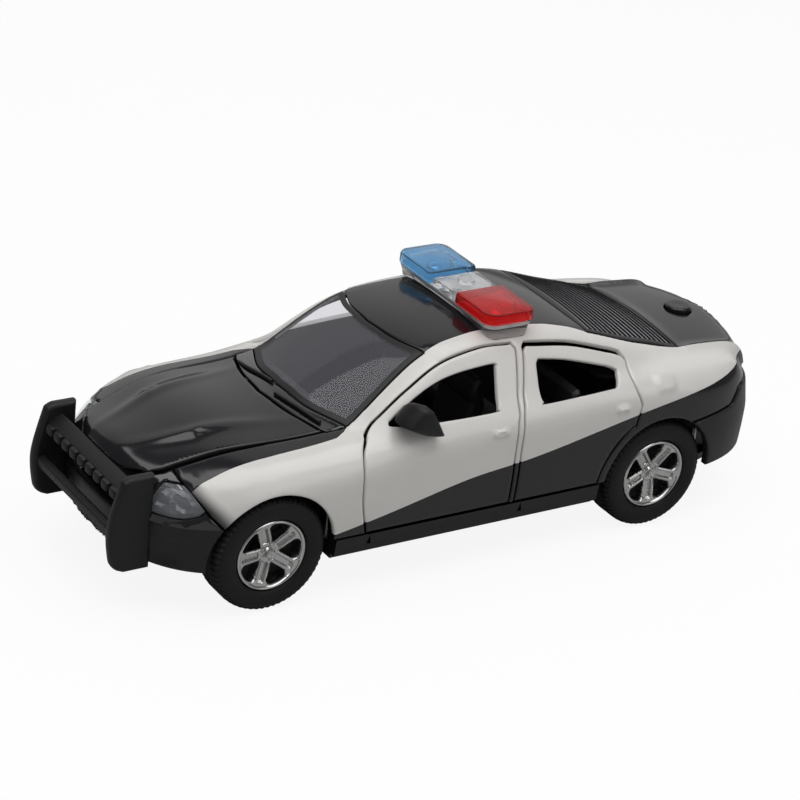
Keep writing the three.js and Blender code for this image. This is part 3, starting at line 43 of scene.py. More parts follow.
# Sizes in millimetres, measured from mid-wheelbase on the ground; the row's frame lies SHIFT behind it.
WHEELBASE = 95.0
FRONT, REAR = WHEELBASE / 2, -WHEELBASE / 2
NOSE_LENGTH, TAIL_LENGTH = 26.5, 33.0
NOSE, TAIL = FRONT + NOSE_LENGTH, REAR - TAIL_LENGTH
HALF = 28.8
ROOF = 48.5
SILL, DOOR_SILL, BELT = 9.6, 13.8, 35.0
GAP, FIT, TRIM = 0.6, 0.3, 0.25
TYRE, ARCH = 12.7, 13.9
WHEEL_FACE, WHEEL_WIDTH = 28.0, 9.6
MIDDLE = -10.0
HUB = 19.0
SHIFT = 1.0
FAR = 300.0
METRE = 0.001
COWL_LOW, GLASS_LOW, REAR_GLASS_LOW = 29.0, 31.0, 33.0
LAMP_FROM, TAIL_LAMP_FROM = 17.0, 7.0


def guide(pairs):
    """Natural cubic curve through a few pairs, straight beyond its ends."""
    xs, ys = np.array(sorted(pairs), float).T
    h = np.diff(xs)
    d = np.diff(ys) / h
    a = np.eye(len(xs))
    b = np.zeros(len(xs))
    for i in range(1, len(xs) - 1):
        a[i, i - 1:i + 2] = h[i - 1], 2 * (h[i - 1] + h[i]), h[i]
        b[i] = 6 * (d[i] - d[i - 1])
    bend = np.linalg.solve(a, b)

    def at(x):
        x = np.asarray(x, float)
        k = np.clip(np.searchsorted(xs, x) - 1, 0, len(h) - 1)
        p = (xs[k + 1] - x) / h[k]
        q = 1 - p
        y = p * ys[k] + q * ys[k + 1] + ((p**3 - p) * bend[k] + (q**3 - q) * bend[k + 1]) * h[k]**2 / 6
        low = ys[0] + (d[0] - h[0] * bend[1] / 6) * (x - xs[0])
        high = ys[-1] + (d[-1] + h[-1] * bend[-2] / 6) * (x - xs[-1])
        return np.where(x < xs[0], low, np.where(x > xs[-1], high, y))
    return at


shoulder = guide([
    (TAIL, 34.2), (REAR - 27.5, 34.6), (REAR - 10, 35.3), (REAR + 8, 36.4), (-12, 35.8), (8, 34.8),
    (FRONT - 22, 32.4), (FRONT - 12, 31.1), (FRONT + 8, 29.4), (FRONT + 17, 27.2), (FRONT + 21.5, 26.4),
    (FRONT + 24, 25.4), (FRONT + 25.4, 23.6), (NOSE, 21.4)])
crown = guide([(TAIL, 1.2), (REAR - 10, 2), (0, 1.6), (FRONT - 22, 3), (FRONT - 12, 3.5), (FRONT + 10, 4.2),
               (NOSE, 4.5)])
roof_line = guide([
    (REAR - 24.5, 27), (REAR - 11, 37.2), (REAR + 3.5, 42), (REAR + 17, ROOF - 2.3), (-20, ROOF - 0.5), (-8, ROOF),
    (4, ROOF - 0.5), (12.5, ROOF - 2.1), (FRONT - 27.5, 42.8), (FRONT - 20.5, 38.8), (FRONT - 14.5, 35.3),
    (FRONT - 7.5, 31)])
BASE = HALF - 2.5
cabin_base = guide([
    (REAR - 24.5, BASE - 9.9), (REAR - 10, BASE - 5.9), (REAR + 7.5, BASE - 1.4), (-25, BASE - 0.2), (-8, BASE),
    (12, BASE - 0.7), (FRONT - 22.5, BASE - 2.2), (FRONT - 7.5, BASE - 4.4)])


WIDEST, NOSE_POWER, TAIL_POWER = 22, 2.6, 3
SHOULDER_RUN, SHOULDER_DROP, SHOULDER_POWER = 7.5, 6.5, 2.4
CABIN_ROUND, CABIN_LEAN, CABIN_LOW = 3.2, 0.62, 27
BLEND, BLEND_FILL = 1.6, 0.4


def half_width(x, z):
    rise = np.maximum(z - WIDEST, 0)
    front = np.maximum((x + 0.18 * rise - FRONT) / NOSE_LENGTH, 0)
    rear = np.maximum((REAR - x + 0.2 * rise) / TAIL_LENGTH, 0)
    past = np.maximum(np.maximum(front, rear) - 1, 0)
    plan = (1 - np.minimum(front, 1)**NOSE_POWER)**(1 / NOSE_POWER)
    plan = plan * (1 - np.minimum(rear, 1)**TAIL_POWER)**(1 / TAIL_POWER)
    return HALF * plan - (np.maximum(WIDEST - z, 0) / (WIDEST - SILL))**2 - 40 * past


def field(x, y, z):
    """Below zero inside the body: a lower hull with round shoulders, blended with a cabin that leans in."""
    y = np.abs(y)
    w = half_width(x, z)
    span = np.maximum(w, 0.5)
    top = shoulder(x) + crown(x) * (1 - np.minimum(y / span, 1.2)**2)
    run = np.minimum(SHOULDER_RUN, 0.6 * span)
    u = (y - (w - run)) / run
    v = (z - (top - SHOULDER_DROP)) / SHOULDER_DROP
    power = np.maximum(u, 0)**SHOULDER_POWER + np.maximum(v, 0)**SHOULDER_POWER
    lower = np.where((u > 0) & (v > 0), power**(1 / SHOULDER_POWER), np.maximum(u, v)) - 1
    lower = lower * np.minimum(run, SHOULDER_DROP)
    across = (y / HALF)**2
    curve = np.where(x > MIDDLE, 0.4, 0.083)
    top = roof_line(MIDDLE + (x - MIDDLE) * (1 + curve * across)) - 2.9 * across
    u = (y - (cabin_base(x) - CABIN_LEAN * np.maximum(z - 34, 0))) * 0.85 + CABIN_ROUND
    v = (z - top) * 0.9 + CABIN_ROUND
    cabin = np.where((u > 0) & (v > 0), np.hypot(u, v), np.maximum(u, v)) - CABIN_ROUND
    cabin = cabin + 2 * np.maximum(CABIN_LOW - z, 0)
    near = np.maximum(BLEND - np.abs(lower - cabin), 0) / BLEND
    return np.minimum(lower, cabin) - near * near * BLEND_FILL


def solve(inside, low, high, shape):
    a = np.full(shape, float(low))
    b = np.full(shape, float(high))
    for _ in range(36):
        m = (a + b) / 2
        hit = inside(m)
        a = np.where(hit, m, a)
        b = np.where(hit, b, m)
    return (a + b) / 2


def side_y(x, z):
    x, z = np.broadcast_arrays(np.asarray(x, float), np.asarray(z, float))
    return solve(lambda y: field(x, y, z) < 0, 0, 60, x.shape)


def top_z(x, y):
    x, y = np.broadcast_arrays(np.asarray(x, float), np.asarray(y, float))
    return solve(lambda z: field(x, y, z) < 0, DOOR_SILL, 97, x.shape)


def nose_x(y, z, rear=False):
    y, z = np.broadcast_arrays(np.asarray(y, float), np.asarray(z, float))
    if rear:
        return -solve(lambda x: field(-x, y, z) < 0, -REAR, 120, y.shape)
    return solve(lambda x: field(x, y, z) < 0, FRONT, 120, y.shape)


def xyz(x, y, z):
    """Points from three coordinates, with single numbers repeated to fit."""
    return np.stack(np.broadcast_arrays(x, y, z), -1)


# The skin is mapped like a capsule: round a spine along the car, and over each end.
SPINE_FRONT, SPINE_REAR = FRONT + 8, REAR - 14.5
AROUND, OVER = 24.0, 20.0


def to_map(p, hub=HUB):
    x, y, z = p[..., 0], p[..., 1], p[..., 2] - hub
    spread = np.hypot(y, z)
    u = np.clip(x, SPINE_REAR, SPINE_FRONT)
    u = u + OVER * np.arctan2(x - u, spread)
    return np.stack([u, np.arctan2(y, z) * AROUND], -1)


def to_skin(uv, hub=HUB):
    u, turn = uv[..., 0], uv[..., 1] / AROUND
    sx = np.clip(u, SPINE_REAR, SPINE_FRONT)
    tilt = np.clip((u - sx) / OVER, -math.pi / 2, math.pi / 2)
    d = np.stack([np.sin(tilt), np.cos(tilt) * np.sin(turn), np.cos(tilt) * np.cos(turn)], -1)
    r = solve(lambda r: field(sx + r * d[..., 0], r * d[..., 1], hub + r * d[..., 2]) < 0, 0.1, 90, u.shape)
    return np.stack([sx, 0 * u, 0 * u + hub], -1) + r[..., None] * d


def normals(p):
    e = 0.05
    axes = np.eye(3) * e
    g = np.stack([field(*(p + a).T) - field(*(p - a).T) for a in axes], -1)
    return g / np.maximum(np.linalg.norm(g, axis=1, keepdims=True), 1e-9)


def spline(points, step=0.5, closed=False):
    """Points along a smooth curve through a few places, about a step apart."""
    p = np.array(points, float)
    ext = np.vstack([p[-1:], p, p[:2]]) if closed else np.vstack([2 * p[0] - p[1], p, 2 * p[-1] - p[-2]])
    out = []
    for i in range(len(ext) - 3):
        a, b, c, d = ext[i:i + 4]
        n = max(2, int(np.linalg.norm(c - b) / step) + 1)
        for t in np.arange(n) / n:
            square, cube = 2 * a - 5 * b + 4 * c - d, 3 * b - a - 3 * c + d
            out.append(0.5 * (2 * b + (c - a) * t + square * t**2 + cube * t**3))
    return np.array(out if closed else out + [p[-1]])


def dense(points, step=0.5, closed=True):
    """A chain of straight pieces cut into parts about a step long."""
    p = np.array(points, float)
    out = []
    for a, b in zip(p, np.roll(p, -1, axis=0) if closed else p[1:]):
        n = max(1, int(np.linalg.norm(b - a) / step))
        out.append(a + (b - a) * (np.arange(n) / n)[:, None])
    return np.vstack(out if closed else out + [p[-1:]])


def grown(points, by):
    """An outline moved outwards, or inwards where the distance is negative."""
    p = np.array(points, float)
    area = np.sum(p[:, 0] * np.roll(p[:, 1], -1) - np.roll(p[:, 0], -1) * p[:, 1])
    e = np.roll(p, -1, axis=0) - p
    n = np.stack([e[:, 1], -e[:, 0]], -1) * np.sign(area)
    n /= np.maximum(np.linalg.norm(n, axis=1, keepdims=True), 1e-9)
    m = np.roll(n, 1, axis=0)
    return p + by * (n + m) / np.maximum(1 + np.sum(n * m, axis=1, keepdims=True), 0.3)


def inside_polygon(points, poly):
    x, y = points[:, 0], points[:, 1]
    hit = np.zeros(len(points), bool)
    for (ax, ay), (bx, by) in zip(poly, np.roll(poly, -1, axis=0)):
        if ay == by:
            continue
        crossing = (ay > y) != (by > y)
        hit ^= crossing & (x < (bx - ax) * (y - ay) / (by - ay) + ax)
    return hit


SIDE_FROM, PLAN_LOW, ON_SKIN = 10, 24, 0.05


class Cut:
    """A flat outline pushed through the skin from the side, from above or from the front."""

    def __init__(self, kind, points, side=0, low=None):
        self.kind, self.side, self.low = kind, side, low
        self.poly = np.array(points, float)

    def holds(self, p):
        axes = {"side": (0, 2), "plan": (0, 1), "front": (1, 2)}[self.kind]
        hit = inside_polygon(p[:, axes], self.poly)
        if self.kind == "side" and self.side:
            hit &= p[:, 1] * self.side > SIDE_FROM
        if self.kind == "plan":
            hit &= p[:, 2] > (self.low or PLAN_LOW)
        if self.kind == "front":
            hit &= p[:, 0] > FRONT
        return hit

    def lines(self):
        q = dense(self.poly)
        q = np.vstack([q, q[:1]])
        if self.kind == "side":
            sides = [self.side] if self.side else [1, -1]
            made = [xyz(q[:, 0], s * side_y(*q.T), q[:, 1]) for s in sides]
        elif self.kind == "plan":
            made = [xyz(*q.T, top_z(*q.T))]
        else:
            made = [xyz(nose_x(*q.T), *q.T)]
        runs = []
        for line in made:
            good = np.abs(field(*line.T)) < ON_SKIN
            turns = np.flatnonzero(np.diff(good)) + 1
            runs += [run for run, ok in zip(np.split(line, turns), good[[0, *turns]]) if ok and len(run) > 1]
        return runs


EDGE_ROUND, EDGE_SINK = 0.42, 0.28
EDGE_CLEAR, WIDEST_TURN, WIDEST_TILT = 0.8, 2.3, 1.55
EDGE_RINGS = ((0.12, 1), (-0.12, 1), (0.3, 1), (-0.3, 1), (0.6, 2), (-0.6, 2))


def nearest(points, places):
    """The distance from each place to the closest of the points."""
    tree = KDTree(len(points))
    for i, p in enumerate(points):
        tree.insert(p, i)
    tree.balance()
    return np.array([tree.find(q)[2] for q in places])


def facing(p, tri):
    """Twice each triangle's area, as a vector across its face."""
    return np.cross(p[tri[:, 1]] - p[tri[:, 0]], p[tri[:, 2]] - p[tri[:, 0]])


def panel(name, keep, cut=(), paint=(), region=None, relief=None, thick=1.1, spacing=1.25, fine=(), slots=(),
          edge=1.0, lift=0.0, hub=HUB):
    """A piece of the skin with rolled edges, an inner skin, and a paint slot for each region."""
    lines = [run for c in [*keep, *cut] for run in c.lines()]
    runs = [to_map(run, hub) for run in lines] + [to_map(np.array(run), hub) for run in paint]
    uv, links = [], []
    for run in runs:
        base = len(uv)
        uv.extend(run.tolist())
        links.extend([(base + i, base + i + 1) for i in range(len(run) - 1)])
    outline = np.array(uv[:sum(len(r) for r in lines)])
    low, high = outline.min(0) - 1, outline.max(0) + 1
    low[1], high[1] = max(low[1], -WIDEST_TURN * AROUND), min(high[1], WIDEST_TURN * AROUND)
    rings = []
    for run in [to_map(r, hub) for r in lines]:
        t = np.gradient(run, axis=0)
        t /= np.maximum(np.linalg.norm(t, axis=1, keepdims=True), 1e-9)
        n = np.stack([-t[:, 1], t[:, 0]], -1)
        rings += [run[::step] + s * n[::step] for s, step in EDGE_RINGS]
    gu, gv = np.meshgrid(np.arange(low[0], high[0], spacing), np.arange(low[1], high[1], spacing))
    gu[1::2] += spacing / 2
    grid = [np.stack([gu.ravel(), gv.ravel()], -1)]
    for centre, size, step in fine:
        c = to_map(np.array(centre, float), hub)
        fu, fv = np.meshgrid(np.arange(-size[0], size[0], step), np.arange(-size[1], size[1], step))
        grid.append(np.stack([c[0] + fu.ravel(), c[1] + fv.ravel()], -1))
    grid = np.vstack(grid)
    far = nearest(xyz(*outline.T, 0), xyz(*grid.T, 0)) > EDGE_CLEAR
    extra = np.vstack([grid[far], *rings])
    extra = extra[np.abs((extra[:, 0] - np.clip(extra[:, 0], SPINE_REAR, SPINE_FRONT)) / OVER) < WIDEST_TILT]
    skin = to_skin(extra, hub)
    near = np.ones(len(extra), bool)
    for c in keep:
        grow = Cut(c.kind, grown(c.poly, 1.5), c.side, c.low)
        near &= grow.holds(skin)
    uv = np.vstack([np.array(uv), extra[near]])
    verts, _, faces = delaunay_2d_cdt([Vector(v) for v in uv], links, [], 0, 1e-4)[:3]
    uv = np.array([v[:] for v in verts])
    tri = np.array([f[:] for f in faces if len(f) == 3])
    p = to_skin(uv, hub)
    centre = p[tri].mean(1)
    ok = np.ones(len(tri), bool)
    for c in keep:
        ok &= c.holds(centre)
    for c in cut:
        ok &= ~c.holds(centre)
    ok &= np.linalg.norm(facing(p, tri), axis=1) > 1e-5
    tri, centre = tri[ok], centre[ok]
    used, tri = np.unique(tri, return_inverse=True)
    tri = tri.reshape(-1, 3)
    p = p[used]
    n = normals(p)
    flip = np.einsum("ij,ij->i", facing(p, tri), n[tri[:, 0]]) < 0
    tri[flip] = tri[flip][:, ::-1]
    ends = np.vstack([tri[:, [0, 1]], tri[:, [1, 2]], tri[:, [2, 0]]])
    key = np.sort(ends, axis=1)
    _, first, count = np.unique(key, axis=0, return_index=True, return_counts=True)
    border = ends[first[count == 1]]
    d = np.clip(nearest(np.vstack([p[border[:, 0]], p[border].mean(1)]), p) / EDGE_ROUND, 0, 1)
    sink = edge * EDGE_SINK * (1 - np.sqrt(1 - (1 - d)**2))
    height = lift - sink + (relief(p) if relief else 0)
    skin = p + n * np.asarray(height)[:, None]
    back = p - n * (thick - lift)
    count = len(p)
    walls = [(b, a, a + count, b + count) for a, b in border]
    faces = [tuple(f) for f in tri] + [tuple(f[::-1] + count) for f in tri] + walls
    which = region(centre).astype(int) if region else np.zeros(len(tri), int)
    inner = len(slots) - 1
    index = np.concatenate([which, np.full(len(tri), inner), np.full(len(walls), inner)])
    if region:
        owner = {tuple(e): w for f, w in zip(tri, which) for e in ((f[0], f[1]), (f[1], f[2]), (f[2], f[0]))}
        index[2 * len(tri):] = [owner[(a, b)] for a, b in border]
    else:
        index[2 * len(tri):] = 0
    return mesh_object(name, np.vstack([skin, back]), faces, slots, index)


def add(name, data):
    """A new object in the scene."""
    obj = bpy.data.objects.new(name, data)
    scene.collection.objects.link(obj)
    return obj


def shade(mesh, sharp):
    """Smooth faces, apart from edges that turn by more than an angle in degrees."""
    mesh.polygons.foreach_set("use_smooth", np.ones(len(mesh.polygons), bool))
    mesh.set_sharp_from_angle(angle=math.radians(sharp))


def mesh_object(name, points, faces, slots, index=None, sharp=40):
    mesh = bpy.data.meshes.new(name)
    q = np.array(points, float) + [SHIFT, 0, 0]
    mesh.from_pydata((q * METRE).tolist(), [], [tuple(int(i) for i in f) for f in faces])
    for material in slots:
        mesh.materials.append(material)
    if index is not None:
        mesh.polygons.foreach_set("material_index", np.asarray(index, np.int32))
    shade(mesh, sharp)
    mesh.update()
    return add(name, mesh)


def place(obj, body, nodes):
    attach(obj, body)
    if nodes:
        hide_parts(*([nodes] if isinstance(nodes, str) else nodes))
    return obj


def fit(name, nodes, slot, *cuts, body="body", **look):
    """A panel of the skin in its place."""
    return place(panel(name, *cuts, **look), body, nodes)


def mirrored(obj, name):
    mesh = obj.data.copy()
    mesh.transform(Matrix.Scale(-1, 4, (0, 1, 0)))
    mesh.flip_normals()
    return add(name, mesh)


# Materials
def feed(tree, made, inputs):
    """Sets a node's inputs to constants, or links them to other nodes' outputs."""
    for key, value in inputs.items():
        socket = made.inputs[key.replace("_", " ")]
        if isinstance(value, bpy.types.NodeSocket):
            tree.links.new(value, socket)
        else:
            socket.default_value = value


def node(tree, kind, **inputs):
    made = tree.nodes.new(kind)
    if kind == "ShaderNodeMix":
        made.data_type = "RGBA"
    feed(tree, made, inputs)
    return made


def blend(tree, share, first, second, output):
    """Mixes two shaders into an output node, by a number or by another node's output."""
    mix = node(tree, "ShaderNodeMixShader")
    if isinstance(share, float):
        mix.inputs[0].default_value = share
    else:
        tree.links.new(share, mix.inputs[0])
    tree.links.new(first, mix.inputs[1])
    tree.links.new(second, mix.inputs[2])
    tree.links.new(mix.outputs[0], tree.nodes[output].inputs["Surface"])


def material(name, color, rough, metal=0.0, grain=0.0, scale=900.0, spread=0.12, bump=0.0, clear=None, veil=0.2,
             **sockets):
    """A shader whose colour, roughness and bump vary with fine procedural noise."""
    m = bpy.data.materials.new(name)
    m.use_nodes = True
    t = m.node_tree
    s = t.nodes["Principled BSDF"]
    where = node(t, "ShaderNodeTexCoord")
    noise = node(t, "ShaderNodeTexNoise", Scale=scale, Detail=4, Vector=where.outputs["Object"]).outputs["Fac"]
    ramp = node(t, "ShaderNodeMapRange", To_Min=rough * (1 - spread), To_Max=rough * (1 + spread), Value=noise)
    tone = node(t, "ShaderNodeMix", A=[c * (1 - grain) for c in color] + [1],
                B=[min(1, c * (1 + grain)) for c in color] + [1], Factor=noise)
    feed(t, s, {"Metallic": metal, **sockets, "Roughness": ramp.outputs["Result"],
                "Base Color": tone.outputs["Result"]})
    if bump:
        rise = node(t, "ShaderNodeBump", Strength=bump, Distance=0.0001, Height=noise)
        feed(t, s, {"Normal": rise.outputs["Normal"]})
    if clear:
        through = node(t, "ShaderNodeBsdfTransparent", Color=(*clear, 1))
        blend(t, veil, through.outputs[0], s.outputs[0], "Material Output")
    return m


WHITE = material("white_enamel", (0.66, 0.645, 0.62), 0.3, grain=0.02, scale=220, bump=0.03, Coat_Weight=0.35)
BLACK = material("black_enamel", (0.0072, 0.0066, 0.0084), 0.14, grain=0.15, scale=260, bump=0.02)
SATIN = material("satin_black", (0.006, 0.006, 0.0065), 0.42, grain=0.2, scale=1400, bump=0.12,
                 Specular_IOR_Level=0.35)
MATT = material("matt_black", (0.0055, 0.0055, 0.006), 0.5, grain=0.25, scale=2400, bump=0.35,
                Specular_IOR_Level=0.35)
GLOSS = material("gloss_black", (0.006, 0.006, 0.007), 0.09, grain=0.1, scale=300, Coat_Weight=0.5)
CABIN = material("cabin_black", (0.012, 0.012, 0.013), 0.5, grain=0.25, scale=1800, bump=0.3)
RUBBER = material("tyre_rubber", (0.0045, 0.0045, 0.0048), 0.6, grain=0.3, scale=1500, bump=0.3,
                  Specular_IOR_Level=0.3)
CHROME = material("bright_plating", (0.5, 0.495, 0.49), 0.16, 1.0, grain=0.05, scale=500, spread=0.35)
# Painted shade: near black for the rim pockets, the backings behind the grille and intake, and the inner faces of the
# bumpers and lamp housing.
RECESS_SHADE = material("painted_recess_shade", (0.006, 0.006, 0.006), 0.7, grain=0.3, scale=900)
STEEL = material("plain_steel", (0.5, 0.5, 0.5), 0.32, 1.0, grain=0.08, scale=900)
BOARD = material("green_board", (0.02, 0.12, 0.05), 0.4, grain=0.3, scale=700)
SMOKE = material("smoked_ribs", (0.24, 0.235, 0.25), 0.25, grain=0.08, scale=600)
GLASS = material("clear_glass", (0.3, 0.3, 0.33), 0.04, grain=0.02, scale=200, clear=(0.94, 0.94, 0.96), veil=0.16,
                 Coat_Weight=1.0)
CLEAR = material("clear_moulding", (0.97, 0.98, 1.0), 0.05, grain=0.02, scale=400, bump=0.2,
                 Transmission_Weight=0.92, IOR=1.3)
RED = material("red_moulding", (0.95, 0.05, 0.05), 0.05, grain=0.1, scale=300, Transmission_Weight=0.9, IOR=1.3)
BLUE = material("blue_moulding", (0.36, 0.68, 1.0), 0.05, grain=0.1, scale=300, Transmission_Weight=0.95, IOR=1.3)
SILVER = material("silver_reflector", (0.8, 0.8, 0.82), 0.25, 0.9, grain=0.1, scale=700, bump=0.4)
PEARL = material("pearl_insert", (0.92, 0.93, 0.95), 0.25, 0.0, grain=0.25, scale=420, bump=0.6)
LENS = material("lamp_lens", (0.5, 0.52, 0.55), 0.04, grain=0.02, scale=200, clear=(0.95, 0.96, 0.97), veil=0.12,
                Coat_Weight=1.0)
HOUSING = material("lamp_housing", (0.1, 0.1, 0.105), 0.22, 0.7, grain=0.5, scale=350, bump=0.4)
# Painted shade on the dark faces of the rear window ribs.
RIB_SHADE = material("rib_painted_shade", (0.008, 0.008, 0.009), 0.9, grain=0.08, scale=600, Specular_IOR_Level=0.05)
TAIL_RED = material("tail_red", (0.25, 0.006, 0.008), 0.1, grain=0.15, scale=500, Transmission_Weight=0.2)


def fade_to_black(m, at, way, start, width):
    """Turns the paint to black in a soft grey fade across a slanted edge seen from the side."""
    t = m.node_tree
    s = t.nodes["Principled BSDF"]
    where = node(t, "ShaderNodeTexCoord")
    dot = node(t, "ShaderNodeVectorMath")
    dot.operation = "DOT_PRODUCT"
    dot.inputs[1].default_value = (way[0], 0, way[1])
    t.links.new(where.outputs["Object"], dot.inputs[0])
    reach = (at[0] + SHIFT) * way[0] + at[1] * way[1] + start
    ramp = node(t, "ShaderNodeMapRange")
    ramp.interpolation_type = "SMOOTHSTEP"
    feed(t, ramp, {"From Min": reach * METRE, "From Max": (reach + width) * METRE, "Value": dot.outputs["Value"]})
    mix = node(t, "ShaderNodeMix", A=s.inputs["Base Color"].links[0].from_socket, B=(0.007, 0.007, 0.008, 1),
               Factor=ramp.outputs["Result"])
    feed(t, s, {"Base Color": mix.outputs["Result"]})


fade_to_black(WHITE, (FRONT + 14.2, 23.6), (0.735, -0.678), -4.0, 3.6)

# Outlines shared with the solids, from the side (x, z) and from above (x, y)
FOOT = DOOR_SILL + FIT
front_door = np.vstack([
    spline([(FRONT - 21.5, FOOT), (FRONT - 20, 21), (FRONT - 19.7, 28), (FRONT - 20.4, 31.3),
            (FRONT - 22.3, 33.2)]),
    spline([(FRONT - 24.5, 34.8), (FRONT - 32.8, 40.2), (FRONT - 41, 44.1), (-3.5, ROOF - 2.8),
            (-11.4, ROOF - 2.9)]),
    spline([(-11.9, ROOF - 3.6), (-10.8, 39.4), (-9.3, 34), (-8.5, 30), (-8.5, FOOT)])])
front_window = np.vstack([
    spline([(-6.5, 42.6), (-6, 43.1), (2, 42.6), (8, 41.5), (13.5, 39.3), (FRONT - 27.5, BELT + 0.4),
            (FRONT - 28, BELT - 0.2)]),
    spline([(10, BELT - 0.2), (-4.2, BELT), (-4.8, BELT + 0.3), (-5.2, BELT + 1.2)])])


def rear_door_line(drop):
    turn = np.linspace(1.05, math.asin((FOOT - TYRE) / (ARCH + 2.3)), 18)
    top = spline([(-15, 45.4), (-25.7, 44), (REAR + 12, 41.3), (REAR + 8.9, 40.2)]) - [0, drop]
    return np.vstack([
        [(-10.4, FOOT)],
        spline([(-10.4, 26), (-10.7, 32.5), (-11.8, 35.7), (-13.3, 40.5), (-14.2, 44.8 - drop)]), top,
        spline([(REAR + 8, 38.8), (REAR + 8.5, 35.4), (REAR + 7.2, 31)]),
        np.stack([REAR + (ARCH + 2.3) * np.cos(turn), TYRE + (ARCH + 2.3) * np.sin(turn)], -1)])


rear_window = np.vstack([
    spline([(-16.4, 41.6), (-16.9, 42.3), (-18, 42.4), (-25, 41.2), (REAR + 12, 38.3), (REAR + 11.3, 37.2),
            (REAR + 12.6, 35.6)]),
    spline([(REAR + 13.2, BELT + 0.4), (-17, BELT - 0.1), (-16, BELT + 0.2), (-15.8, BELT + 1)])])


def both(half):
    half = np.array(half, float)
    return np.vstack([half, half[1:-1][::-1] * [1, -1]])


hood_rear = spline([(FRONT - 10.3, 0), (FRONT - 11.5, 9), (FRONT - 14.2, 17.2)])
hood_line = both(np.vstack([
    hood_rear, spline([(FRONT - 15.1, 18.1), (FRONT + 3, 17.3), (NOSE - 7.5, 14.6)]),
    spline([(NOSE - 5, 13.4), (NOSE - 2.1, 7.6), (NOSE - 1.2, 0)])]))
glass_base = spline([(FRONT - 14.7, 0), (FRONT - 15.8, 9.5), (FRONT - 20, 19)])
glass_top = spline([(8.6, 15.9), (11.4, 8.5), (12.4, 0)])
windscreen_line = both(np.vstack([glass_base, glass_top]))
cowl_line = both(np.vstack([hood_rear - [GAP, 0], [(FRONT - 15.1 - GAP, 18.7)], (glass_base + [TRIM, 0])[::-1]]))
rear_glass_line = both(np.vstack([
    [(REAR - 10.8, 0), (REAR - 10, 17), (REAR + 3, 17.3)],
    spline([(REAR + 15.2, 16.7), (REAR + 16.4, 9), (REAR + 16.9, 0)])]))
front_break = np.array([(FRONT + 17.6, 60), (FRONT + 17.3, 28.5), (FRONT + 14.2, 23.6), (FRONT + 9.5, 18.5),
                        (FRONT + 9.5, -FAR), (FAR, -FAR), (FAR, 60)])
rear_break = np.array([(REAR - 8, 24.2), (REAR - 20, 25.4), (REAR - 23, 28.4), (-FAR, 28.4), (-FAR, -FAR),
                       (REAR - 8, -FAR)])
lamp_line = np.vstack([[(FRONT + 16.9, 28.2), (FRONT + 14.9, 24.6)],
                       spline([(FRONT + 16, 23.6), (FRONT + 20, 22.6), (NOSE + 2, 22.9)]), [(NOSE + 2, 27.6)]])
tail_lamp_line = np.array([(TAIL + 3.4, 33), (TAIL + 4, 29.6), (TAIL - 3, 29.2), (TAIL - 3, 33.4)])
turn = np.linspace(0, 2 * math.pi, 121)[:-1]
circle = np.stack([np.cos(turn), np.sin(turn)], -1)
HOOD_LOW = 26.2
BUTTON = (REAR - 23, 2.9)


class Arch(Cut):
    def __init__(self, x):
        super().__init__("side", [x, TYRE] + ARCH * circle)

    def holds(self, p):
        return super().holds(p) & (np.abs(p[:, 1]) > WHEEL_FACE - WHEEL_WIDTH - 1)


class Lamp(Cut):
    """A side outline kept to the part of the skin outside a plane along the car."""

    def __init__(self, points, from_y):
        super().__init__("side", points)
        self.from_y = from_y

    def holds(self, p):
        return super().holds(p) & (np.abs(p[:, 1]) > self.from_y)

    def lines(self):
        made = [run[np.abs(run[:, 1]) > self.from_y] for run in super().lines()]
        z = np.linspace(self.poly[:, 1].min(), self.poly[:, 1].max(), 30)
        x = nose_x(self.from_y, z, self.poly[0, 0] < 0)
        return [run for run in made if len(run) > 1] + [xyz(x, s * self.from_y, z) for s in (1, -1)]


arches = [Arch(FRONT), Arch(REAR)]
below = Cut("side", [(-FAR, -FAR), (FAR, -FAR), (FAR, DOOR_SILL), (-FAR, DOOR_SILL)])
hood_hole = Cut("plan", grown(hood_line, GAP), low=HOOD_LOW - GAP)
lamp_hole = Lamp(grown(lamp_line, TRIM), LAMP_FROM - TRIM)
tail_hole = Lamp(grown(tail_lamp_line, TRIM), TAIL_LAMP_FROM - TRIM)
whole = Cut("side", [(TAIL - 9, 0), (NOSE + 9, 0), (NOSE + 9, 60), (TAIL - 9, 60)])

# The two-tone paint: black below a rising line, black inboard of the rails, white between
two_tone = guide([(34.7, 14.9), (26.7, 16.5), (14.3, 19.3), (0, 22.3), (-9.8, 23.4), (-24.7, 26), (-38.8, 28.9),
                  (-50.2, 30.9), (-60.8, 32.2), (-68.6, 32.9), (-75, 33.2)])
top_edge = np.array([(FRONT + 18, 21.8), (FRONT, 22), (31, 21.4), (28.6, 20.2), (27.5, 19.3), (8.6, 16), (4, 15),
                     (-4, 14.2), (-12, 14), (-22, 14.8), (-28, 15.8), (REAR + 15.2, 17), (REAR + 3, 17.6),
                     (REAR - 10, 17.4), (TAIL + 5.3, 17.1)])


def rail(x):
    order = np.argsort(top_edge[:, 0])
    return np.interp(x, top_edge[order, 0], top_edge[order, 1])


def paint_side(p):
    """0 white, 1 black."""
    x, y, z = p[:, 0], np.abs(p[:, 1]), p[:, 2]
    inboard = (y < rail(x)) & (z > 25)
    low = (z < two_tone(x)) & (x < 36)
    return (inboard | low | (x < TAIL + 5.1)).astype(int)


def paint_lines():
    x = np.arange(TAIL + 5.3, 36, 0.6)
    z = two_tone(x)
    q = dense(top_edge, 0.6, False)
    low = [xyz(x, s * side_y(x, z), z) for s in (1, -1)]
    return low + [xyz(q[:, 0], s * q[:, 1], top_z(*q.T)) for s in (1, -1)]


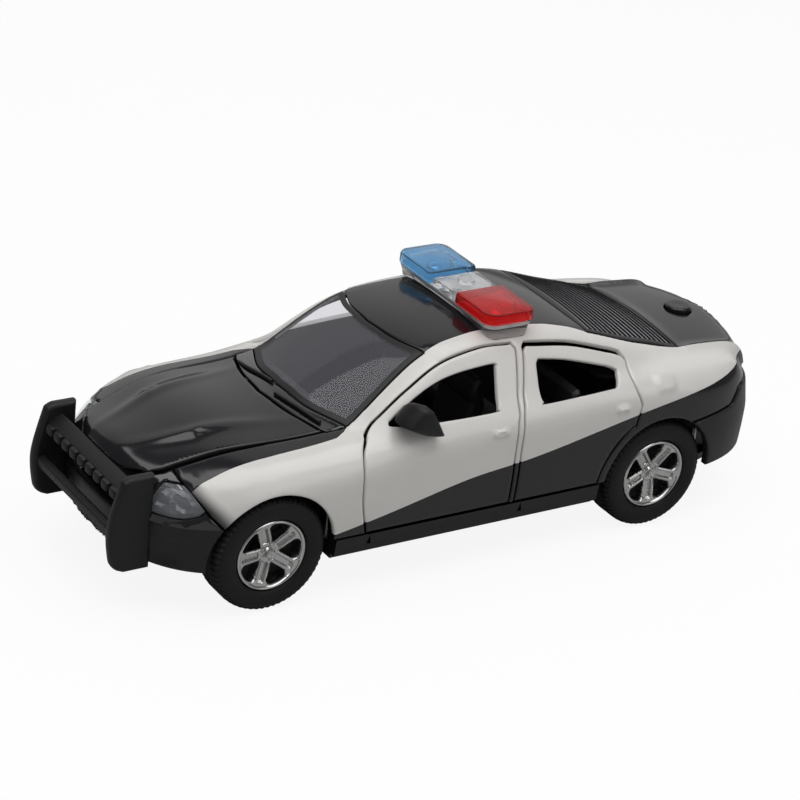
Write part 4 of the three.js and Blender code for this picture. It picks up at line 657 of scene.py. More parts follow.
def bump_at(p, x, z, rx, rz):
    """1 in the middle of a rounded patch on the side, falling to 0 at its edge."""
    u = np.abs(p[:, 0] - x) / rx
    v = np.abs(p[:, 2] - z) / rz
    f = np.clip(1.35 - 1.35 * (u**4 + v**4)**0.25, 0, 1)
    return f * f * (3 - 2 * f) * (np.abs(p[:, 1]) > 12)


def crease(p, points, width):
    """1 along a line seen from the side, falling to 0 a width away."""
    q = p[:, (0, 2)]
    best = np.full(len(p), 1e9)
    for a, b in zip(points[:-1], points[1:]):
        a, b = np.array(a, float), np.array(b, float)
        t = np.clip(((q - a) @ (b - a)) / ((b - a) @ (b - a)), 0, 1)
        best = np.minimum(best, np.linalg.norm(q - a - t[:, None] * (b - a), axis=1))
    return np.clip(1 - best / width, 0, 1)**2


FLAP_X, FRONT_HANDLE_X, REAR_HANDLE_X = -47.3, -4.4, -35.4


def shell_relief(p):
    """The filler flap, raised rails beside the deck, a fender crease, and grooves up the front pillars."""
    h = 0.75 * bump_at(p, FLAP_X, 34.6, 3.4, 2.2)
    h -= 0.25 * bump_at(p, FLAP_X, 34.6, 2.6, 1.5)
    beyond = np.abs(p[:, 1]) - rail(p[:, 0])
    tail = np.clip((REAR - 2 - p[:, 0]) / 12, 0, 1) * (p[:, 2] > 30)
    h += 0.7 * tail * np.exp(-(beyond / 0.8)**2)
    h -= 0.6 * tail * np.exp(-((beyond - 2.6) / 1.5)**2)
    h += 0.4 * crease(p, [(63, 28.6), (57, 29.2), (49.5, 31)], 1.1)
    h += 0.35 * bump_at(p, 57.2, 26.4, 0.5, 1.3)
    pillar = (p[:, 0] > 6) & (p[:, 0] < 28) & (p[:, 2] > 33)
    h -= 0.55 * pillar * np.exp(-((beyond - 2) / 1.2)**2)
    return h


def door_relief(p):
    h = 0 * p[:, 0]
    for x, rx in ((FRONT_HANDLE_X, 2.7), (REAR_HANDLE_X, 2.3)):
        h += 0.75 * bump_at(p, x, 31.1, rx, 0.95) - 0.45 * bump_at(p, x, 30.9, rx * 0.55, 0.45)
    return h


body_slots = [WHITE, BLACK, CABIN]
SEAM = GAP - 0.15
doors_open = [Cut("side", grown(front_door, SEAM), s) for s in (1, -1)]
doors_open += [Cut("side", grown(rear_door_line(0), SEAM), s) for s in (1, -1)]
button_hole = Cut("plan", np.array([BUTTON[0], 0]) + (BUTTON[1] + TRIM) * circle, low=30)
fit("body_shell_look", "body_shell", "white_paint", [whole],
    [*arches, below, hood_hole, Cut("plan", grown(cowl_line, TRIM), low=COWL_LOW),
     Cut("plan", grown(windscreen_line, TRIM), low=GLASS_LOW),
     Cut("plan", grown(rear_glass_line, TRIM), low=REAR_GLASS_LOW), *doors_open,
     Cut("side", grown(front_break, FIT)), Cut("side", grown(rear_break, FIT)), tail_hole, button_hole],
    paint_lines(), paint_side, shell_relief, slots=body_slots,
    fine=[((FLAP_X, s * 25, 35), (5, 4), 0.4) for s in (1, -1)])

for stem, line, window, handle in (("front_door", front_door, front_window, (FRONT_HANDLE_X, 28.5, 31)),
                                   ("rear_door", rear_door_line(0.5), rear_window, (REAR_HANDLE_X, 28.3, 31))):
    made = fit(f"{stem}_left_look", f"{stem}_left", "white_paint", [Cut("side", grown(line, 0.1), 1)],
               [Cut("side", window, 1)], paint_lines()[::2], paint_side, door_relief, body=f"{stem}_left",
               thick=1.0, slots=body_slots, fine=[(handle, (4, 2.4), 0.4)])
    place(mirrored(made, f"{stem}_right_look"), f"{stem}_right", f"{stem}_right")

# A dark lining behind the door pillars
jamb = [(-6.4, 14.4), (-14.2, 14.4), (-14.6, 32), (-16.6, 43.2), (-9.4, 43.2), (-6.6, 32)]
fit("door_pillar_lining", None, "interior", [Cut("side", jamb)], thick=0.8, slots=[CABIN, CABIN], lift=-3.4,
    spacing=1.5, edge=0)


def hood_relief(p):
    """A dome between two soft ridges that run back from a dimple each, and a front half that stands proud."""
    x, y = p[:, 0], np.abs(p[:, 1])
    along = [FRONT - 12, FRONT + 10, NOSE - 4]
    ridge = np.interp(x, along, [12.5, 9, 5])
    height = np.interp(x, along, [0.05, 0.5, 0.1])
    h = height * np.exp(-((y - ridge) / 1.7)**2)
    dome = 1 / (1 + np.exp((y - ridge) / 1.3))
    h += 0.25 * dome * np.interp(x, along, [0.1, 1, 0.3])
    h -= 0.4 * np.exp(-((x - FRONT - 8.6) / 0.8)**2 - ((y - 10) / 0.6)**2)
    rise = np.clip((x - FRONT + 8) / 18, 0, 1)
    return h + 0.6 * rise * rise * (3 - 2 * rise)


fit("hood_look", "hood", "black_paint", [Cut("plan", hood_line, low=HOOD_LOW)], body="hood", relief=hood_relief,
    thick=1.2, slots=[BLACK, CABIN], spacing=0.75)
SCREEN_BORDER = 1.2


def border_region(line, inset):
    inner = grown(line, -inset)
    return lambda p: (~inside_polygon(p[:, :2], inner)).astype(int)


def border_paint(line, inset):
    q = dense(grown(line, -inset), 0.6)
    q = np.vstack([q, q[:1]])
    return [xyz(*q.T, top_z(*q.T))]


fit("windscreen_look", "windscreen", "clear", [Cut("plan", windscreen_line, low=GLASS_LOW)], thick=0.5, edge=0.4,
    paint=border_paint(windscreen_line, SCREEN_BORDER), region=border_region(windscreen_line, SCREEN_BORDER),
    slots=[GLASS, SATIN, GLASS])
RIBS, RIB_HALF, RIB_DEPTH = 17, 15.5, 0.16
RIB_FROM, RIB_TO = REAR - 9.4, REAR + 14.2


def rib_place(p, half):
    """How far along the ribs each point lies, and whether it is among them."""
    along = (p[:, 0] - RIB_FROM) / (RIB_TO - RIB_FROM)
    return along, (np.abs(p[:, 1]) < half) & (along > 0) & (along < 1)


def rib_relief(p):
    along, ribbed = rib_place(p, RIB_HALF + 0.1)
    wave = 0.5 + 0.5 * np.cos(2 * math.pi * along * RIBS)
    return RIB_DEPTH * (wave - 1) * ribbed


def rib_region(p):
    """Light smoke faces towards the front, faces with painted shade towards the back, and a plain border."""
    along, ribbed = rib_place(p, RIB_HALF)
    return np.where(ribbed, np.where((along * RIBS) % 1 < 0.5, 2, 0), 1)


def rib_lines():
    y = np.arange(-RIB_HALF, RIB_HALF + 0.1, 0.5)
    return [xyz(x, y, top_z(x, y)) for x in np.linspace(RIB_FROM, RIB_TO, 2 * RIBS + 1)]


fit("rear_window_look", "rear_window", "smoke", [Cut("plan", rear_glass_line, low=REAR_GLASS_LOW)],
    paint=rib_lines(), relief=rib_relief, thick=0.9, region=rib_region, slots=[SMOKE, SATIN, RIB_SHADE, SMOKE],
    spacing=0.9)
fit("cowl_look", "cowl_panel", "black_paint", [Cut("plan", cowl_line, low=COWL_LOW)], thick=0.8,
    slots=[GLOSS, CABIN], spacing=0.8)

# Front and rear ends
GRILLE = [(-12.6, 19.6), (12.6, 19.6), (12.6, 25.2), (-12.6, 25.2)]
INTAKE = [(-11.5, 12.8), (11.5, 12.8), (11.5, 15.6), (-11.5, 15.6)]
GRILLE_BACK = [(-13.4, 15), (13.4, 15), (13.4, 29), (-13.4, 29)]
STRIP, STRIP_FROM = 20.9, 12
LOW_HUB = 7.0


def bumper_region(p):
    """1 on the gloss strip under the headlights, 0 elsewhere."""
    return ((p[:, 2] > STRIP) & (np.abs(p[:, 1]) > STRIP_FROM)).astype(int)


def strip_lines():
    """The lower edge of the gloss strip, round the corner too, and its inner end."""
    y = np.arange(STRIP_FROM, 25.5, 0.5)
    z = np.arange(STRIP, 27, 0.5)
    x = np.arange(FRONT + 9.6, float(nose_x(25, STRIP)), 0.5)
    made = []
    for s in (1, -1):
        made += [xyz(nose_x(y, STRIP), s * y, STRIP), xyz(nose_x(STRIP_FROM, z), s * STRIP_FROM, z),
                 xyz(x, s * side_y(x, STRIP), STRIP)]
    return made


def bumper_relief(p):
    h = 0.45 * crease(p, [(FRONT + 14, 22), (FRONT + 19, 21.2), (NOSE, 20.8)], 0.8)
    return h * (np.abs(p[:, 1]) > STRIP_FROM) - 0.9 * bump_at(p, FRONT + 20.2, 14.6, 3.4, 3.6)


front_low = [(0, -FAR), (FAR, -FAR), (FAR, SILL + 1.6), (FRONT + 24, SILL + 1.6), (FRONT + 14, SILL + 1.0),
             (0, SILL + 1.0)]
fit("front_bumper_look", "front_bumper", "satin_black", [Cut("side", front_break)],
    [hood_hole, arches[0], lamp_hole, Cut("front", GRILLE), Cut("front", INTAKE), Cut("side", front_low)],
    strip_lines(), bumper_region, bumper_relief, slots=[SATIN, GLOSS, RECESS_SHADE], spacing=0.9, hub=LOW_HUB)
# The backings are dark sheets of painted shade behind the grille and the intake.
for name, outline, lift in (("grille_backing", GRILLE_BACK, -2.6), ("intake_backing", grown(INTAKE, 0.8), -2.2)):
    fit(name, None, "satin_black", [Cut("front", outline)], thick=0.4, slots=[RECESS_SHADE, RECESS_SHADE], lift=lift, edge=0,
        hub=LOW_HUB)
fit("headlight_look", ["headlight_left", "headlight_right"], "clear", [Lamp(lamp_line, LAMP_FROM)], [hood_hole],
    thick=0.5, slots=[LENS, LENS], spacing=0.7, edge=0.6)


def housing_relief(p):
    """Two round bowls side by side in the lamp."""
    h = 0 * p[:, 0]
    for x, z in ((FRONT + 18.6, 25.2), (FRONT + 21.6, 25.2)):
        d = np.hypot(p[:, 0] - x, p[:, 2] - z)
        h += 0.5 * np.exp(-((d - 1.5) / 0.35)**2) - 0.5 * np.exp(-(d / 1.1)**2)
    return h


fit("headlight_housing", None, "chrome", [Lamp(grown(lamp_line, -0.2), LAMP_FROM + 0.2)], [hood_hole], thick=0.3,
    slots=[HOUSING, RECESS_SHADE], lift=-1.5, spacing=0.5, relief=housing_relief)
rear_low = np.array([(-FAR, 12.9), (REAR - 30, 12.9), (REAR - 13, 12.5), (REAR, 12.3), (REAR, -FAR), (-FAR, -FAR)])
fit("rear_bumper_look", "rear_bumper", "satin_black", [Cut("side", rear_break)], [arches[1], Cut("side", rear_low)],
    slots=[SATIN, RECESS_SHADE], lift=0.55, thick=1.6, hub=LOW_HUB)
fit("tail_lights_look", ["tail_light_left", "tail_light_right"], "red_lens",
    [Lamp(tail_lamp_line, TAIL_LAMP_FROM)], thick=0.8, slots=[TAIL_RED, TAIL_RED], spacing=0.7, edge=0.6)


def loft(rings, close=True):
    """Faces between rings of equal length, with the ends filled."""
    n = len(rings[0])
    points = np.vstack(rings)
    faces = [(i * n + k, i * n + (k + 1) % n, (i + 1) * n + (k + 1) % n, (i + 1) * n + k)
             for i in range(len(rings) - 1) for k in range(n)]
    if close:
        faces += [tuple(range(n))[::-1], tuple((len(rings) - 1) * n + k for k in range(n))]
    return points, faces


def tidy(obj):
    """Joins doubled points and turns all the faces outwards."""
    bm = bmesh.new()
    bm.from_mesh(obj.data)
    bmesh.ops.remove_doubles(bm, verts=bm.verts, dist=1e-6)
    bmesh.ops.recalc_face_normals(bm, faces=bm.faces)
    bm.to_mesh(obj.data)
    bm.free()
    return obj


def refine(name, mat, width, body="body"):
    """A copy of a CAD node with its flat faces joined up again and its edges rounded."""
    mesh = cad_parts[name].data.copy()
    bm = bmesh.new()
    bm.from_mesh(mesh)
    bmesh.ops.remove_doubles(bm, verts=bm.verts, dist=2e-6)
    bmesh.ops.dissolve_limit(bm, angle_limit=math.radians(3), verts=bm.verts, edges=bm.edges)
    bm.to_mesh(mesh)
    bm.free()
    mesh.materials.clear()
    mesh.materials.append(mat)
    shade(mesh, 30)
    obj = add(f"{name}_look", mesh)
    bevel = obj.modifiers.new("edge", "BEVEL")
    bevel.width = width * METRE
    bevel.segments = 2
    bevel.limit_method = "ANGLE"
    bevel.angle_limit = math.radians(32)
    bevel.harden_normals = True
    return place(obj, body, name)


refine("chassis_plate", SATIN, 0.3)
refine("grille", GLOSS, 0.15)
for name, width in (("interior_tub", 0.3), ("dashboard", 0.35), ("steering_wheel", 0.15), ("engine_block", 0.3),
                    ("rear_bench", 0.5)):
    refine(name, CABIN, width)
for side in ("left", "right"):
    refine(f"front_seat_{side}", CABIN, 0.5)
    refine(f"headlight_reflector_{side}", CHROME, 0.15)
for name, mat in (("battery_cover", SATIN), ("battery_holder", SATIN), ("circuit_board", BOARD),
                  ("button_switch", CABIN), ("speaker", CABIN), ("pullback_motor", CABIN)):
    refine(name, mat, 0.15)
for name in ("button_cell_1", "button_cell_2", "button_cell_3", "front_screw_left", "front_screw_right",
             "rear_screw_left", "rear_screw_right"):
    refine(name, STEEL, 0.1)

PUSH_SPAN, PUSH_HEIGHT, LUMPS = 34.2, 20.8, 9
WING_THICK, WING_ROUND = 1.3, 0.95


def push_bar_look():
    """Two wings with rounded edges, a beam with a row of soft lumps, and a lower bar."""
    front, low = FRONT + 31.6, SILL + 0.2
    high, half = low + PUSH_HEIGHT, PUSH_SPAN / 2
    wing = np.vstack([[(FRONT + 22.4, high), (front - 5.2, high)], spline([
        (front - 4.2, high), (front - 2.8, high - 0.6), (front - 2.1, high - 2), (front, low + 10.2),
        (front - 0.5, low + 3.4), (front - 1.5, low + 1.1), (front - 3.6, low)], 0.8),
        [(front - 5.2, low), (FRONT + 22.4, low)]])
    parts = []
    for side in (1, -1):
        rings = []
        for a in np.linspace(-math.pi / 2, math.pi / 2, 9):
            q = grown(wing, -WING_ROUND * (1 - math.cos(a)))
            y = side * half + (WING_THICK - WING_ROUND) * np.sign(math.sin(a)) + WING_ROUND * math.sin(a)
            rings.append(xyz(q[:, 0], y, q[:, 1]))
        parts.append(loft(rings))
    top = high - 1.6
    beam = grown([(front - 2.9, top - 2), (front - 2.5, top - 4), (front - 4.4, top - 3.8), (front - 6, top - 2.2),
                  (front - 6, top - 0.4)], -0.3)
    bar = grown([(front - 2.8, low + 7), (front - 0.9, low + 7.4), (front - 0.6, low + 9.4), (front - 2.4, low + 10)],
                -0.4)
    angles = np.linspace(0, 2 * math.pi, 13)[:-1]
    around = np.stack([np.cos(angles), np.sin(angles)], -1)
    for outline, soft in ((beam, 0.3), (bar, 0.4)):
        cloud = (outline[:, None] + soft * around[None]).reshape(-1, 2)
        away = cloud - cloud.mean(0)
        hull = np.array([cloud[np.argmax(away @ [math.cos(a), math.sin(a)])]
                         for a in np.linspace(0, 2 * math.pi, 49)[:-1]])
        parts.append(loft([xyz(hull[:, 0], y, hull[:, 1]) for y in (-half, half)]))
    pitch = (PUSH_SPAN - 2.6) / LUMPS
    angles = np.linspace(0, 2 * math.pi, 25)[:-1]
    shape = np.stack([np.sign(f) * np.abs(f)**0.35 for f in (np.cos(angles), np.sin(angles))], -1)
    for k in range(LUMPS):
        y = pitch * (k - LUMPS // 2)
        parts.append(loft([
            xyz(front - 2.9 + math.sin(a), y + pitch * 0.38 * math.cos(a)**0.25 * shape[:, 0],
                top - 3.1 + 1.05 * math.cos(a)**0.25 * shape[:, 1]) for a in np.linspace(-1.4, 1.4, 9)]))
    points, faces = [], []
    for q, f in parts:
        base = sum(len(x) for x in points)
        points.append(q)
        faces += [tuple(base + i for i in face) for face in f]
    made = tidy(mesh_object("push_bar_look", np.vstack(points), faces, [MATT], sharp=45))
    place(made, "body", "push_bar")


push_bar_look()


def lathe(name, profile, mat, at, segments=96):
    """A turned form about an upright axis at a place, from (radius, height) pairs."""
    turn = np.arange(segments) * 2 * math.pi / segments
    rings = [xyz(r * np.cos(turn), r * np.sin(turn), h) for r, h in profile]
    made = tidy(mesh_object(name, *loft(rings, close=False), [mat]))
    made.data.transform(Matrix.Translation((at[0] * METRE, at[1] * METRE, 0)))
    return made


deck = float(top_z(BUTTON[0], 0))
profile = [(0, deck - 4), (1.2, deck - 4), (1.2, deck - 3.6), (3.9, deck - 3.6), (3.9, deck - 3),
           (BUTTON[1], deck - 3), (BUTTON[1], deck + 0.5)]
profile += [(BUTTON[1] - 0.5 + 0.5 * math.cos(a), deck + 0.55 + 0.5 * math.sin(a)) for a in np.linspace(0.1, 1.57, 7)]
profile += [(1.2, deck + 1.02), (0, deck + 0.95)]
place(lathe("light_button_look", profile, BLACK, (BUTTON[0], 0)), "light_button", "light_button")


def tube(name, points, radius, mat, sides=10):
    """A round bar through a few points."""
    path = spline(points, 0.6)
    t = np.gradient(path, axis=0)
    t /= np.linalg.norm(t, axis=1, keepdims=True)
    a = np.cross(t, [0, 0, 1])
    a /= np.linalg.norm(a, axis=1, keepdims=True)
    b = np.cross(a, t)
    turn = np.arange(sides) * 2 * math.pi / sides
    rings = [q + radius * (np.cos(turn)[:, None] * u + np.sin(turn)[:, None] * v) for q, u, v in zip(path, a, b)]
    return tidy(mesh_object(name, *loft(rings), [mat]))


# Wipers, each bowed across the foot of the windscreen
WIPER_REACH = 13
for k, y in enumerate((-14, 3)):
    arm = []
    for share, rise in ((0, 0), (0.25, 0.3), (0.5, 0.62), (0.75, 0.85), (1, 1)):
        across = y + WIPER_REACH * share
        x = glass_base[0, 0] + 2.2 - 1.6 * rise - 0.006 * across**2
        arm.append((x, across, float(top_z(x, across)) + 0.35))
    place(tube(f"wiper_{k + 1}", arm, 0.42, SATIN), "body", None)

# A dark shelf under the rear window
shelf_plan = grown(both(spline([(REAR + 10, 0), (REAR + 9.4, 17), (REAR - 11, 17.4), (REAR - 12, 0)], 1.0)), -0.3)
rings = [xyz(*grown(shelf_plan, -inset).T, z) for z, inset in ((32.2, 0.5), (32.4, 0), (32.9, 0), (33.1, 0.4))]
place(tidy(mesh_object("rear_shelf_lining", *loft(rings), [CABIN])), "body", None)


def mirror_housing():
    """A wedge with soft corners on a stalk at the sail corner of the driver's door."""
    middle = np.array([FRONT - 31.2, 37])
    corners = [(4.6, -0.4), (1.6, 3.4), (-0.6, 4), (-4.9, -3.6), (-0.6, -2.9)]
    soft = spline(corners, 0.5, True)
    k = np.linspace(0, len(corners), len(soft), endpoint=False)
    ring = np.array(corners + corners[:1])
    straight = np.stack([np.interp(k, range(len(ring)), ring[:, i]) for i in (0, 1)], -1)
    form = 0.3 * soft + 0.7 * straight
    start = float(side_y(*middle))
    rings = []
    for out, size, back in ((0.0, 0.45, 0), (0.8, 0.6, 0.05), (2, 0.85, 0.2), (4.4, 1, 0.8), (6.4, 0.92, 1.2),
                            (7, 0.82, 1.4), (7.4, 0.62, 1.6)):
        q = middle + form * size - [back, 0]
        rings.append(xyz(q[:, 0], start + out, q[:, 1]))
    return tidy(mesh_object("mirror_left_look", *loft(rings), [MATT], sharp=50))


place(mirror_housing(), "front_door_left", "mirror_left")

# Roof light bar
BAR_FRONT, BAR_LENGTH, BAR_SPAN, BAR_CORNER = -5.4, 12.2, 36.6, 2.6
BAR_TOP, LENS_TOP, LENS_REACH = ROOF + 1.9, ROOF + 4.1, 13.4
BAR_MID = BAR_FRONT - BAR_LENGTH / 2
INNER = BAR_SPAN / 2 - LENS_REACH


def bar_plan(inset, low, high):
    """The rounded plan of the bar between two planes across it."""
    mid = BAR_LENGTH / 2 - inset
    low, high = max(low, -BAR_SPAN / 2) + inset, min(high, BAR_SPAN / 2) - inset
    quarter = np.linspace(0, math.pi / 2, 8)
    corners = []
    for k, (sx, sy) in enumerate(((1, 1), (-1, 1), (-1, -1), (1, -1))):
        end = high if sy > 0 else low
        r = BAR_CORNER - 0.6 * inset if abs(end) > BAR_SPAN / 2 - 2 else 0.7
        turn = quarter + k * math.pi / 2
        corners.append(np.stack([sx * (mid - r) + r * np.cos(turn), end - sy * r + r * np.sin(turn)], -1))
    line = []
    for here, after in zip(corners, corners[1:] + corners[:1]):
        share = np.linspace(0, 1, 18)[1:-1, None]
        line += [here, here[-1] + (after[0] - here[-1]) * share]
    return np.vstack(line) + [BAR_MID, 0]


def slab(name, levels, mat, from_y=-FAR, to_y=FAR, wall=0.0):
    """A stack of plans, hollow from below where a wall is given."""
    (low, low_inset), (high, high_inset) = levels[0], levels[-1]
    inner = [(high - wall, high_inset + 0.2), (low, low_inset + wall)] if wall else []
    rings = [xyz(*bar_plan(inset, from_y, to_y).T, z) for z, inset in levels + inner]
    if wall:
        points, faces = loft(rings, close=False)
        n, top = len(rings[0]), len(levels) - 1
        faces = [f for f in faces if not top * n <= min(f) < (top + 1) * n or max(f) < (top + 1) * n]
        faces += [tuple(top * n + k for k in range(n)), tuple((top + 1) * n + k for k in range(n))[::-1]]
        last = (len(rings) - 1) * n
        faces += [(last + k, last + (k + 1) % n, (k + 1) % n, k) for k in range(n)]
    else:
        points, faces = loft(rings)
    return tidy(mesh_object(name, points, faces, [mat]))


def roof_seat(obj, clear=0.15):
    """Lifts the underside of a piece on to the roof."""
    for v in obj.data.vertices:
        x, y, z = v.co.x * 1000 - SHIFT, v.co.y * 1000, v.co.z * 1000
        if z < ROOF + 0.05:
            v.co.z = (float(top_z(x, y)) + clear) * METRE
    return obj


base = slab("lightbar_base_look", [(ROOF - 1, 0.9), (ROOF + 0.3, 0.6), (BAR_TOP - 0.5, 0.25), (BAR_TOP - 0.25, 0.4)],
            CLEAR)
place(roof_seat(base), "body", "lightbar_base")
middle = slab("lightbar_middle", [(BAR_TOP - 0.2, 0.4), (LENS_TOP - 1.1, 0.5), (LENS_TOP - 0.8, 0.8)], CLEAR,
              -INNER + 0.2, INNER - 0.2)
place(middle, "body", None)
boss = [(0, -0.75), (1.9, -0.75), (1.9, -0.3), (1.7, -0.1), (1.2, -0.1), (1.1, -0.4), (0, -0.4)]
boss = lathe("lightbar_boss", [(r, LENS_TOP + h) for r, h in boss], CLEAR, (BAR_MID, 0), 48)
place(boss, "body", None)
core = slab("lightbar_core", [(ROOF + 0.5, 1.2), (BAR_TOP - 0.65, 0.75)], PEARL)
place(core, "body", None)
lamp_form = [(r, BAR_TOP + h) for r, h in ((0, -0.1), (1.6, -0.1), (1.6, 0.4), (1, 0.8), (0, 0.9))]
for colour, mat, side, low, high in (("red", RED, 1, INNER, FAR), ("blue", BLUE, -1, -FAR, -INNER)):
    levels = [(BAR_TOP, 0), (LENS_TOP - 0.45, 0.06), (LENS_TOP - 0.12, 0.22), (LENS_TOP, 0.6)]
    place(slab(f"{colour}_lens_look", levels, mat, low, high, 0.7), "body", f"{colour}_lens")
    lamp = lathe(f"{colour}_lamp_look", lamp_form, SILVER, (BAR_MID, side * (BAR_SPAN - LENS_REACH) / 2), 32)
    place(lamp, "body", f"{colour}_lamp")


# Wheels
RIM, SPOKE_TURN = 8, 2 * math.pi / 5


def tyre_mesh():
    """A round tyre with tread blocks on both shoulders and a groove round its middle."""
    mid, half = WHEEL_FACE - WHEEL_WIDTH / 2, WHEEL_WIDTH / 2
    profile = spline([(RIM, half - 0.75), (8.4, half - 0.4), (9.3, half - 0.1), (10.6, half - 0.02),
                      (11.7, half - 0.45), (12.35, half - 1.1), (12.66, half - 2), (TYRE, half - 3.2),
                      (TYRE, 0.5)], 0.28)
    profile = np.vstack([profile, [(TYRE - 0.35, 0.35)], [(TYRE - 0.35, -0.35)], profile[::-1] * [1, -1]])
    n = 240
    turn = np.arange(n) * 2 * math.pi / n
    rings = []
    for r, y in profile:
        block = ((np.arange(n) // 2) % 2 == 0) & (11.9 < r) & (abs(y) > 1.9)
        radius = r - 0.32 * block
        rings.append(xyz(radius * np.cos(turn), mid + y, radius * np.sin(turn)))
    return loft(rings, close=False)


def rim_mesh():
    """Five channelled spokes between pockets of painted shade, with wheel nuts, a hub cap and a raised lip; the
    inside of the rim has painted shade too.
    """
    face, inside = WHEEL_FACE - 0.55, WHEEL_FACE - WHEEL_WIDTH + 0.8
    nr, nt = 74, 250
    radii = np.concatenate([np.linspace(0.02, 7, 60), np.linspace(7.1, 7.95, nr - 60)])
    turn = np.arange(nt) * 2 * math.pi / nt
    r, t = np.meshgrid(radii, turn, indexing="ij")
    a = (t - math.pi / 2 + math.pi / 5) % SPOKE_TURN - math.pi / 5
    across = np.abs(r * np.sin(a))

    def step(v, width):
        v = np.clip(v / width + 0.5, 0, 1)
        return v * v * (3 - 2 * v)
    spoke_half = 1.38 + 0.03 * r + 0.9 * np.clip((r - 5.6) / 1.3, 0, 1)**2
    pocket = step(across - spoke_half, 0.3) * step(6.8 - r, 0.3)
    h = face - 0.35 - 0.16 * (7 - np.minimum(r, 7)) - 2.9 * pocket
    channel = step(0.72 - 0.02 * r - across, 0.3) * step(r - 2.2, 0.5) * step(6.3 - r, 0.5) * (1 - pocket)
    h -= 0.75 * channel
    edge = step(across - spoke_half + 0.35, 0.3) * (1 - pocket) * (r > 2) * (r < 6.8)
    h -= 0.18 * edge
    b = (t - math.pi / 2) % SPOKE_TURN - math.pi / 5
    nut = np.hypot(r * np.cos(b) - 1.75, r * np.sin(b))
    h += 0.4 * step(0.36 - nut, 0.15) - 0.3 * step(r - 1.1, 0.25) * step(2.1 - r, 0.3)
    h += 0.7 * step(0.85 - r, 0.2) - 0.12 * step(0.4 - r, 0.15)
    lip = np.clip((r - 7) / 0.95, 0, 1)
    h += 0.5 * np.sin(lip * math.pi)**0.8 * (r > 7) - 0.1 * lip
    rings = [xyz(q * np.cos(turn), y, q * np.sin(turn)) for q, y in
             [*zip(r, h), (RIM, face - 0.6), (RIM, inside), (7, inside), (6.8, face - 3.9), (1.3, face - 3.9)]]
    points, faces = loft(rings, close=False)
    dark = []
    for i in range(len(rings) - 1):
        row = pocket[i] if i < nr else np.ones(nt)
        dark += [int(row[k] > 0.93 or i > nr) for k in range(nt)]
    return points, faces, dark


tyre_points, tyre_faces = tyre_mesh()
rim_points, rim_faces, rim_dark = rim_mesh()
for where, x, spin in (("front", FRONT, 0.32), ("rear", REAR, 0.62)):
    c, n = math.cos(spin), math.sin(spin)
    turned = rim_points @ np.array([[c, 0, -n], [0, 1, 0], [n, 0, c]])
    for side, s in (("left", 1), ("right", -1)):
        flip = np.array([1, s, 1])
        hub_at = [x, 0, TYRE]
        tyre = mesh_object(f"{where}_tyre_{side}_look", tyre_points * flip + hub_at, tyre_faces, [RUBBER], sharp=35)
        rim = mesh_object(f"{where}_rim_{side}_look", turned * flip + hub_at, rim_faces, [CHROME, RECESS_SHADE], rim_dark, 45)
        place(tidy(tyre), f"{where}_wheels", f"{where}_tyre_{side}")
        place(tidy(rim), f"{where}_wheels", f"{where}_rim_{side}")
    refine(f"{where}_axle", STEEL, 0.1, f"{where}_wheels")


# Floor, light and camera
FLOOR_GLOW, SKY = 0.9, 0.16


def stage_material():
    """A pale floor that the camera sees lit up, and that still takes the object's shadow."""
    m = bpy.data.materials.new("pale_floor")
    m.use_nodes = True
    t = m.node_tree
    s = t.nodes["Principled BSDF"]
    seen = node(t, "ShaderNodeLightPath").outputs["Is Camera Ray"]
    tone = node(t, "ShaderNodeMix", A=(0.5, 0.5, 0.5, 1), B=(0.95, 0.95, 0.95, 1), Factor=seen)
    feed(t, s, {"Base Color": tone.outputs["Result"], "Roughness": 0.9})
    part = node(t, "ShaderNodeMath")
    part.operation = "MULTIPLY"
    part.inputs[1].default_value = FLOOR_GLOW
    t.links.new(seen, part.inputs[0])
    blend(t, part.outputs[0], s.outputs[0], node(t, "ShaderNodeEmission").outputs[0], "Material Output")
    return m


floor_mesh = bpy.data.meshes.new("floor")
floor_mesh.from_pydata([(-3, -3, 0), (3, -3, 0), (3, 3, 0), (-3, 3, 0)], [], [(0, 1, 2, 3)])
floor_mesh.materials.append(stage_material())
floor = add("floor", floor_mesh)

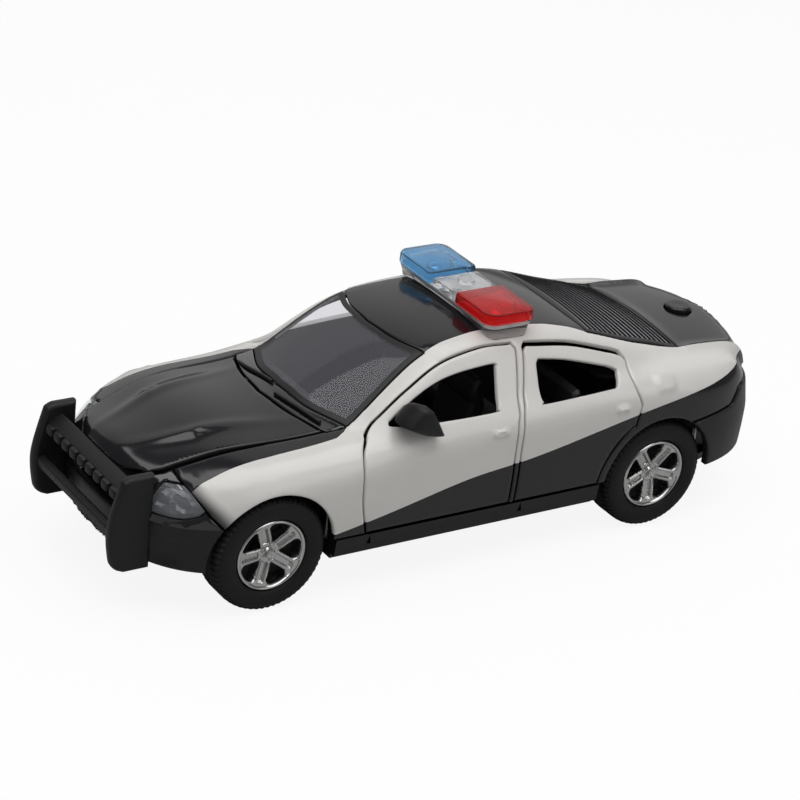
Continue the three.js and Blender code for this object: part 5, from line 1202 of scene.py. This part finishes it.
world = bpy.data.worlds.new("studio")
scene.world = world
world.use_nodes = True
t = world.node_tree
sky = t.nodes["Background"]
feed(t, sky, {"Color": (1, 1, 1, 1), "Strength": SKY})
white = node(t, "ShaderNodeBackground")
seen = node(t, "ShaderNodeLightPath").outputs["Is Camera Ray"]
blend(t, seen, sky.outputs[0], white.outputs[0], "World Output")


def area(name, at, target, size, power):
    lamp = bpy.data.lights.new(name, "AREA")
    lamp.shape = "RECTANGLE"
    lamp.size, lamp.size_y = size
    lamp.energy = power
    obj = add(name, lamp)
    obj.location = at
    obj.rotation_euler = (Vector(target) - Vector(at)).to_track_quat("-Z", "Y").to_euler()


area("top_box", (0.05, 0.1, 0.7), (0, 0, 0.02), (0.9, 0.7), 4.6)
area("side_box", (-0.45, 0.85, 0.5), (0, 0, 0.02), (0.9, 0.5), 1.3)
area("front_box", (0.8, 0.2, 0.35), (0, 0, 0.02), (0.5, 0.5), 0.2)
area("back_box", (-0.6, -1.1, 0.8), (0, 0, 0.03), (3.0, 1.5), 7.5)

FOCUS, DISTANCE, PICTURE, SENSOR = 2812.0, 601.1, 800, 36
YAW, PITCH, ROLL = math.radians(35), math.radians(26.55), math.radians(6.56)
AIM = np.array([-0.4 + SHIFT, -2.3, 20.0])
back = np.array([math.sin(YAW) * math.cos(PITCH), math.cos(YAW) * math.cos(PITCH), math.sin(PITCH)])
right = np.cross(-back, [0, 0, 1])
right /= np.linalg.norm(right)
up = np.cross(right, -back)
across = math.cos(ROLL) * right + math.sin(ROLL) * up
upwards = -math.sin(ROLL) * right + math.cos(ROLL) * up
camera = bpy.data.cameras.new("camera")
camera.sensor_width = SENSOR
camera.lens = FOCUS / PICTURE * SENSOR
camera.shift_y = 20 / PICTURE
camera.clip_start = 0.01
eye = add("camera", camera)
stand = (AIM + back * DISTANCE) * METRE
eye.matrix_world = Matrix([[across[i], upwards[i], back[i], stand[i]] for i in range(3)] + [[0, 0, 0, 1]])
scene.camera = eye
scene.view_settings.view_transform = "Standard"
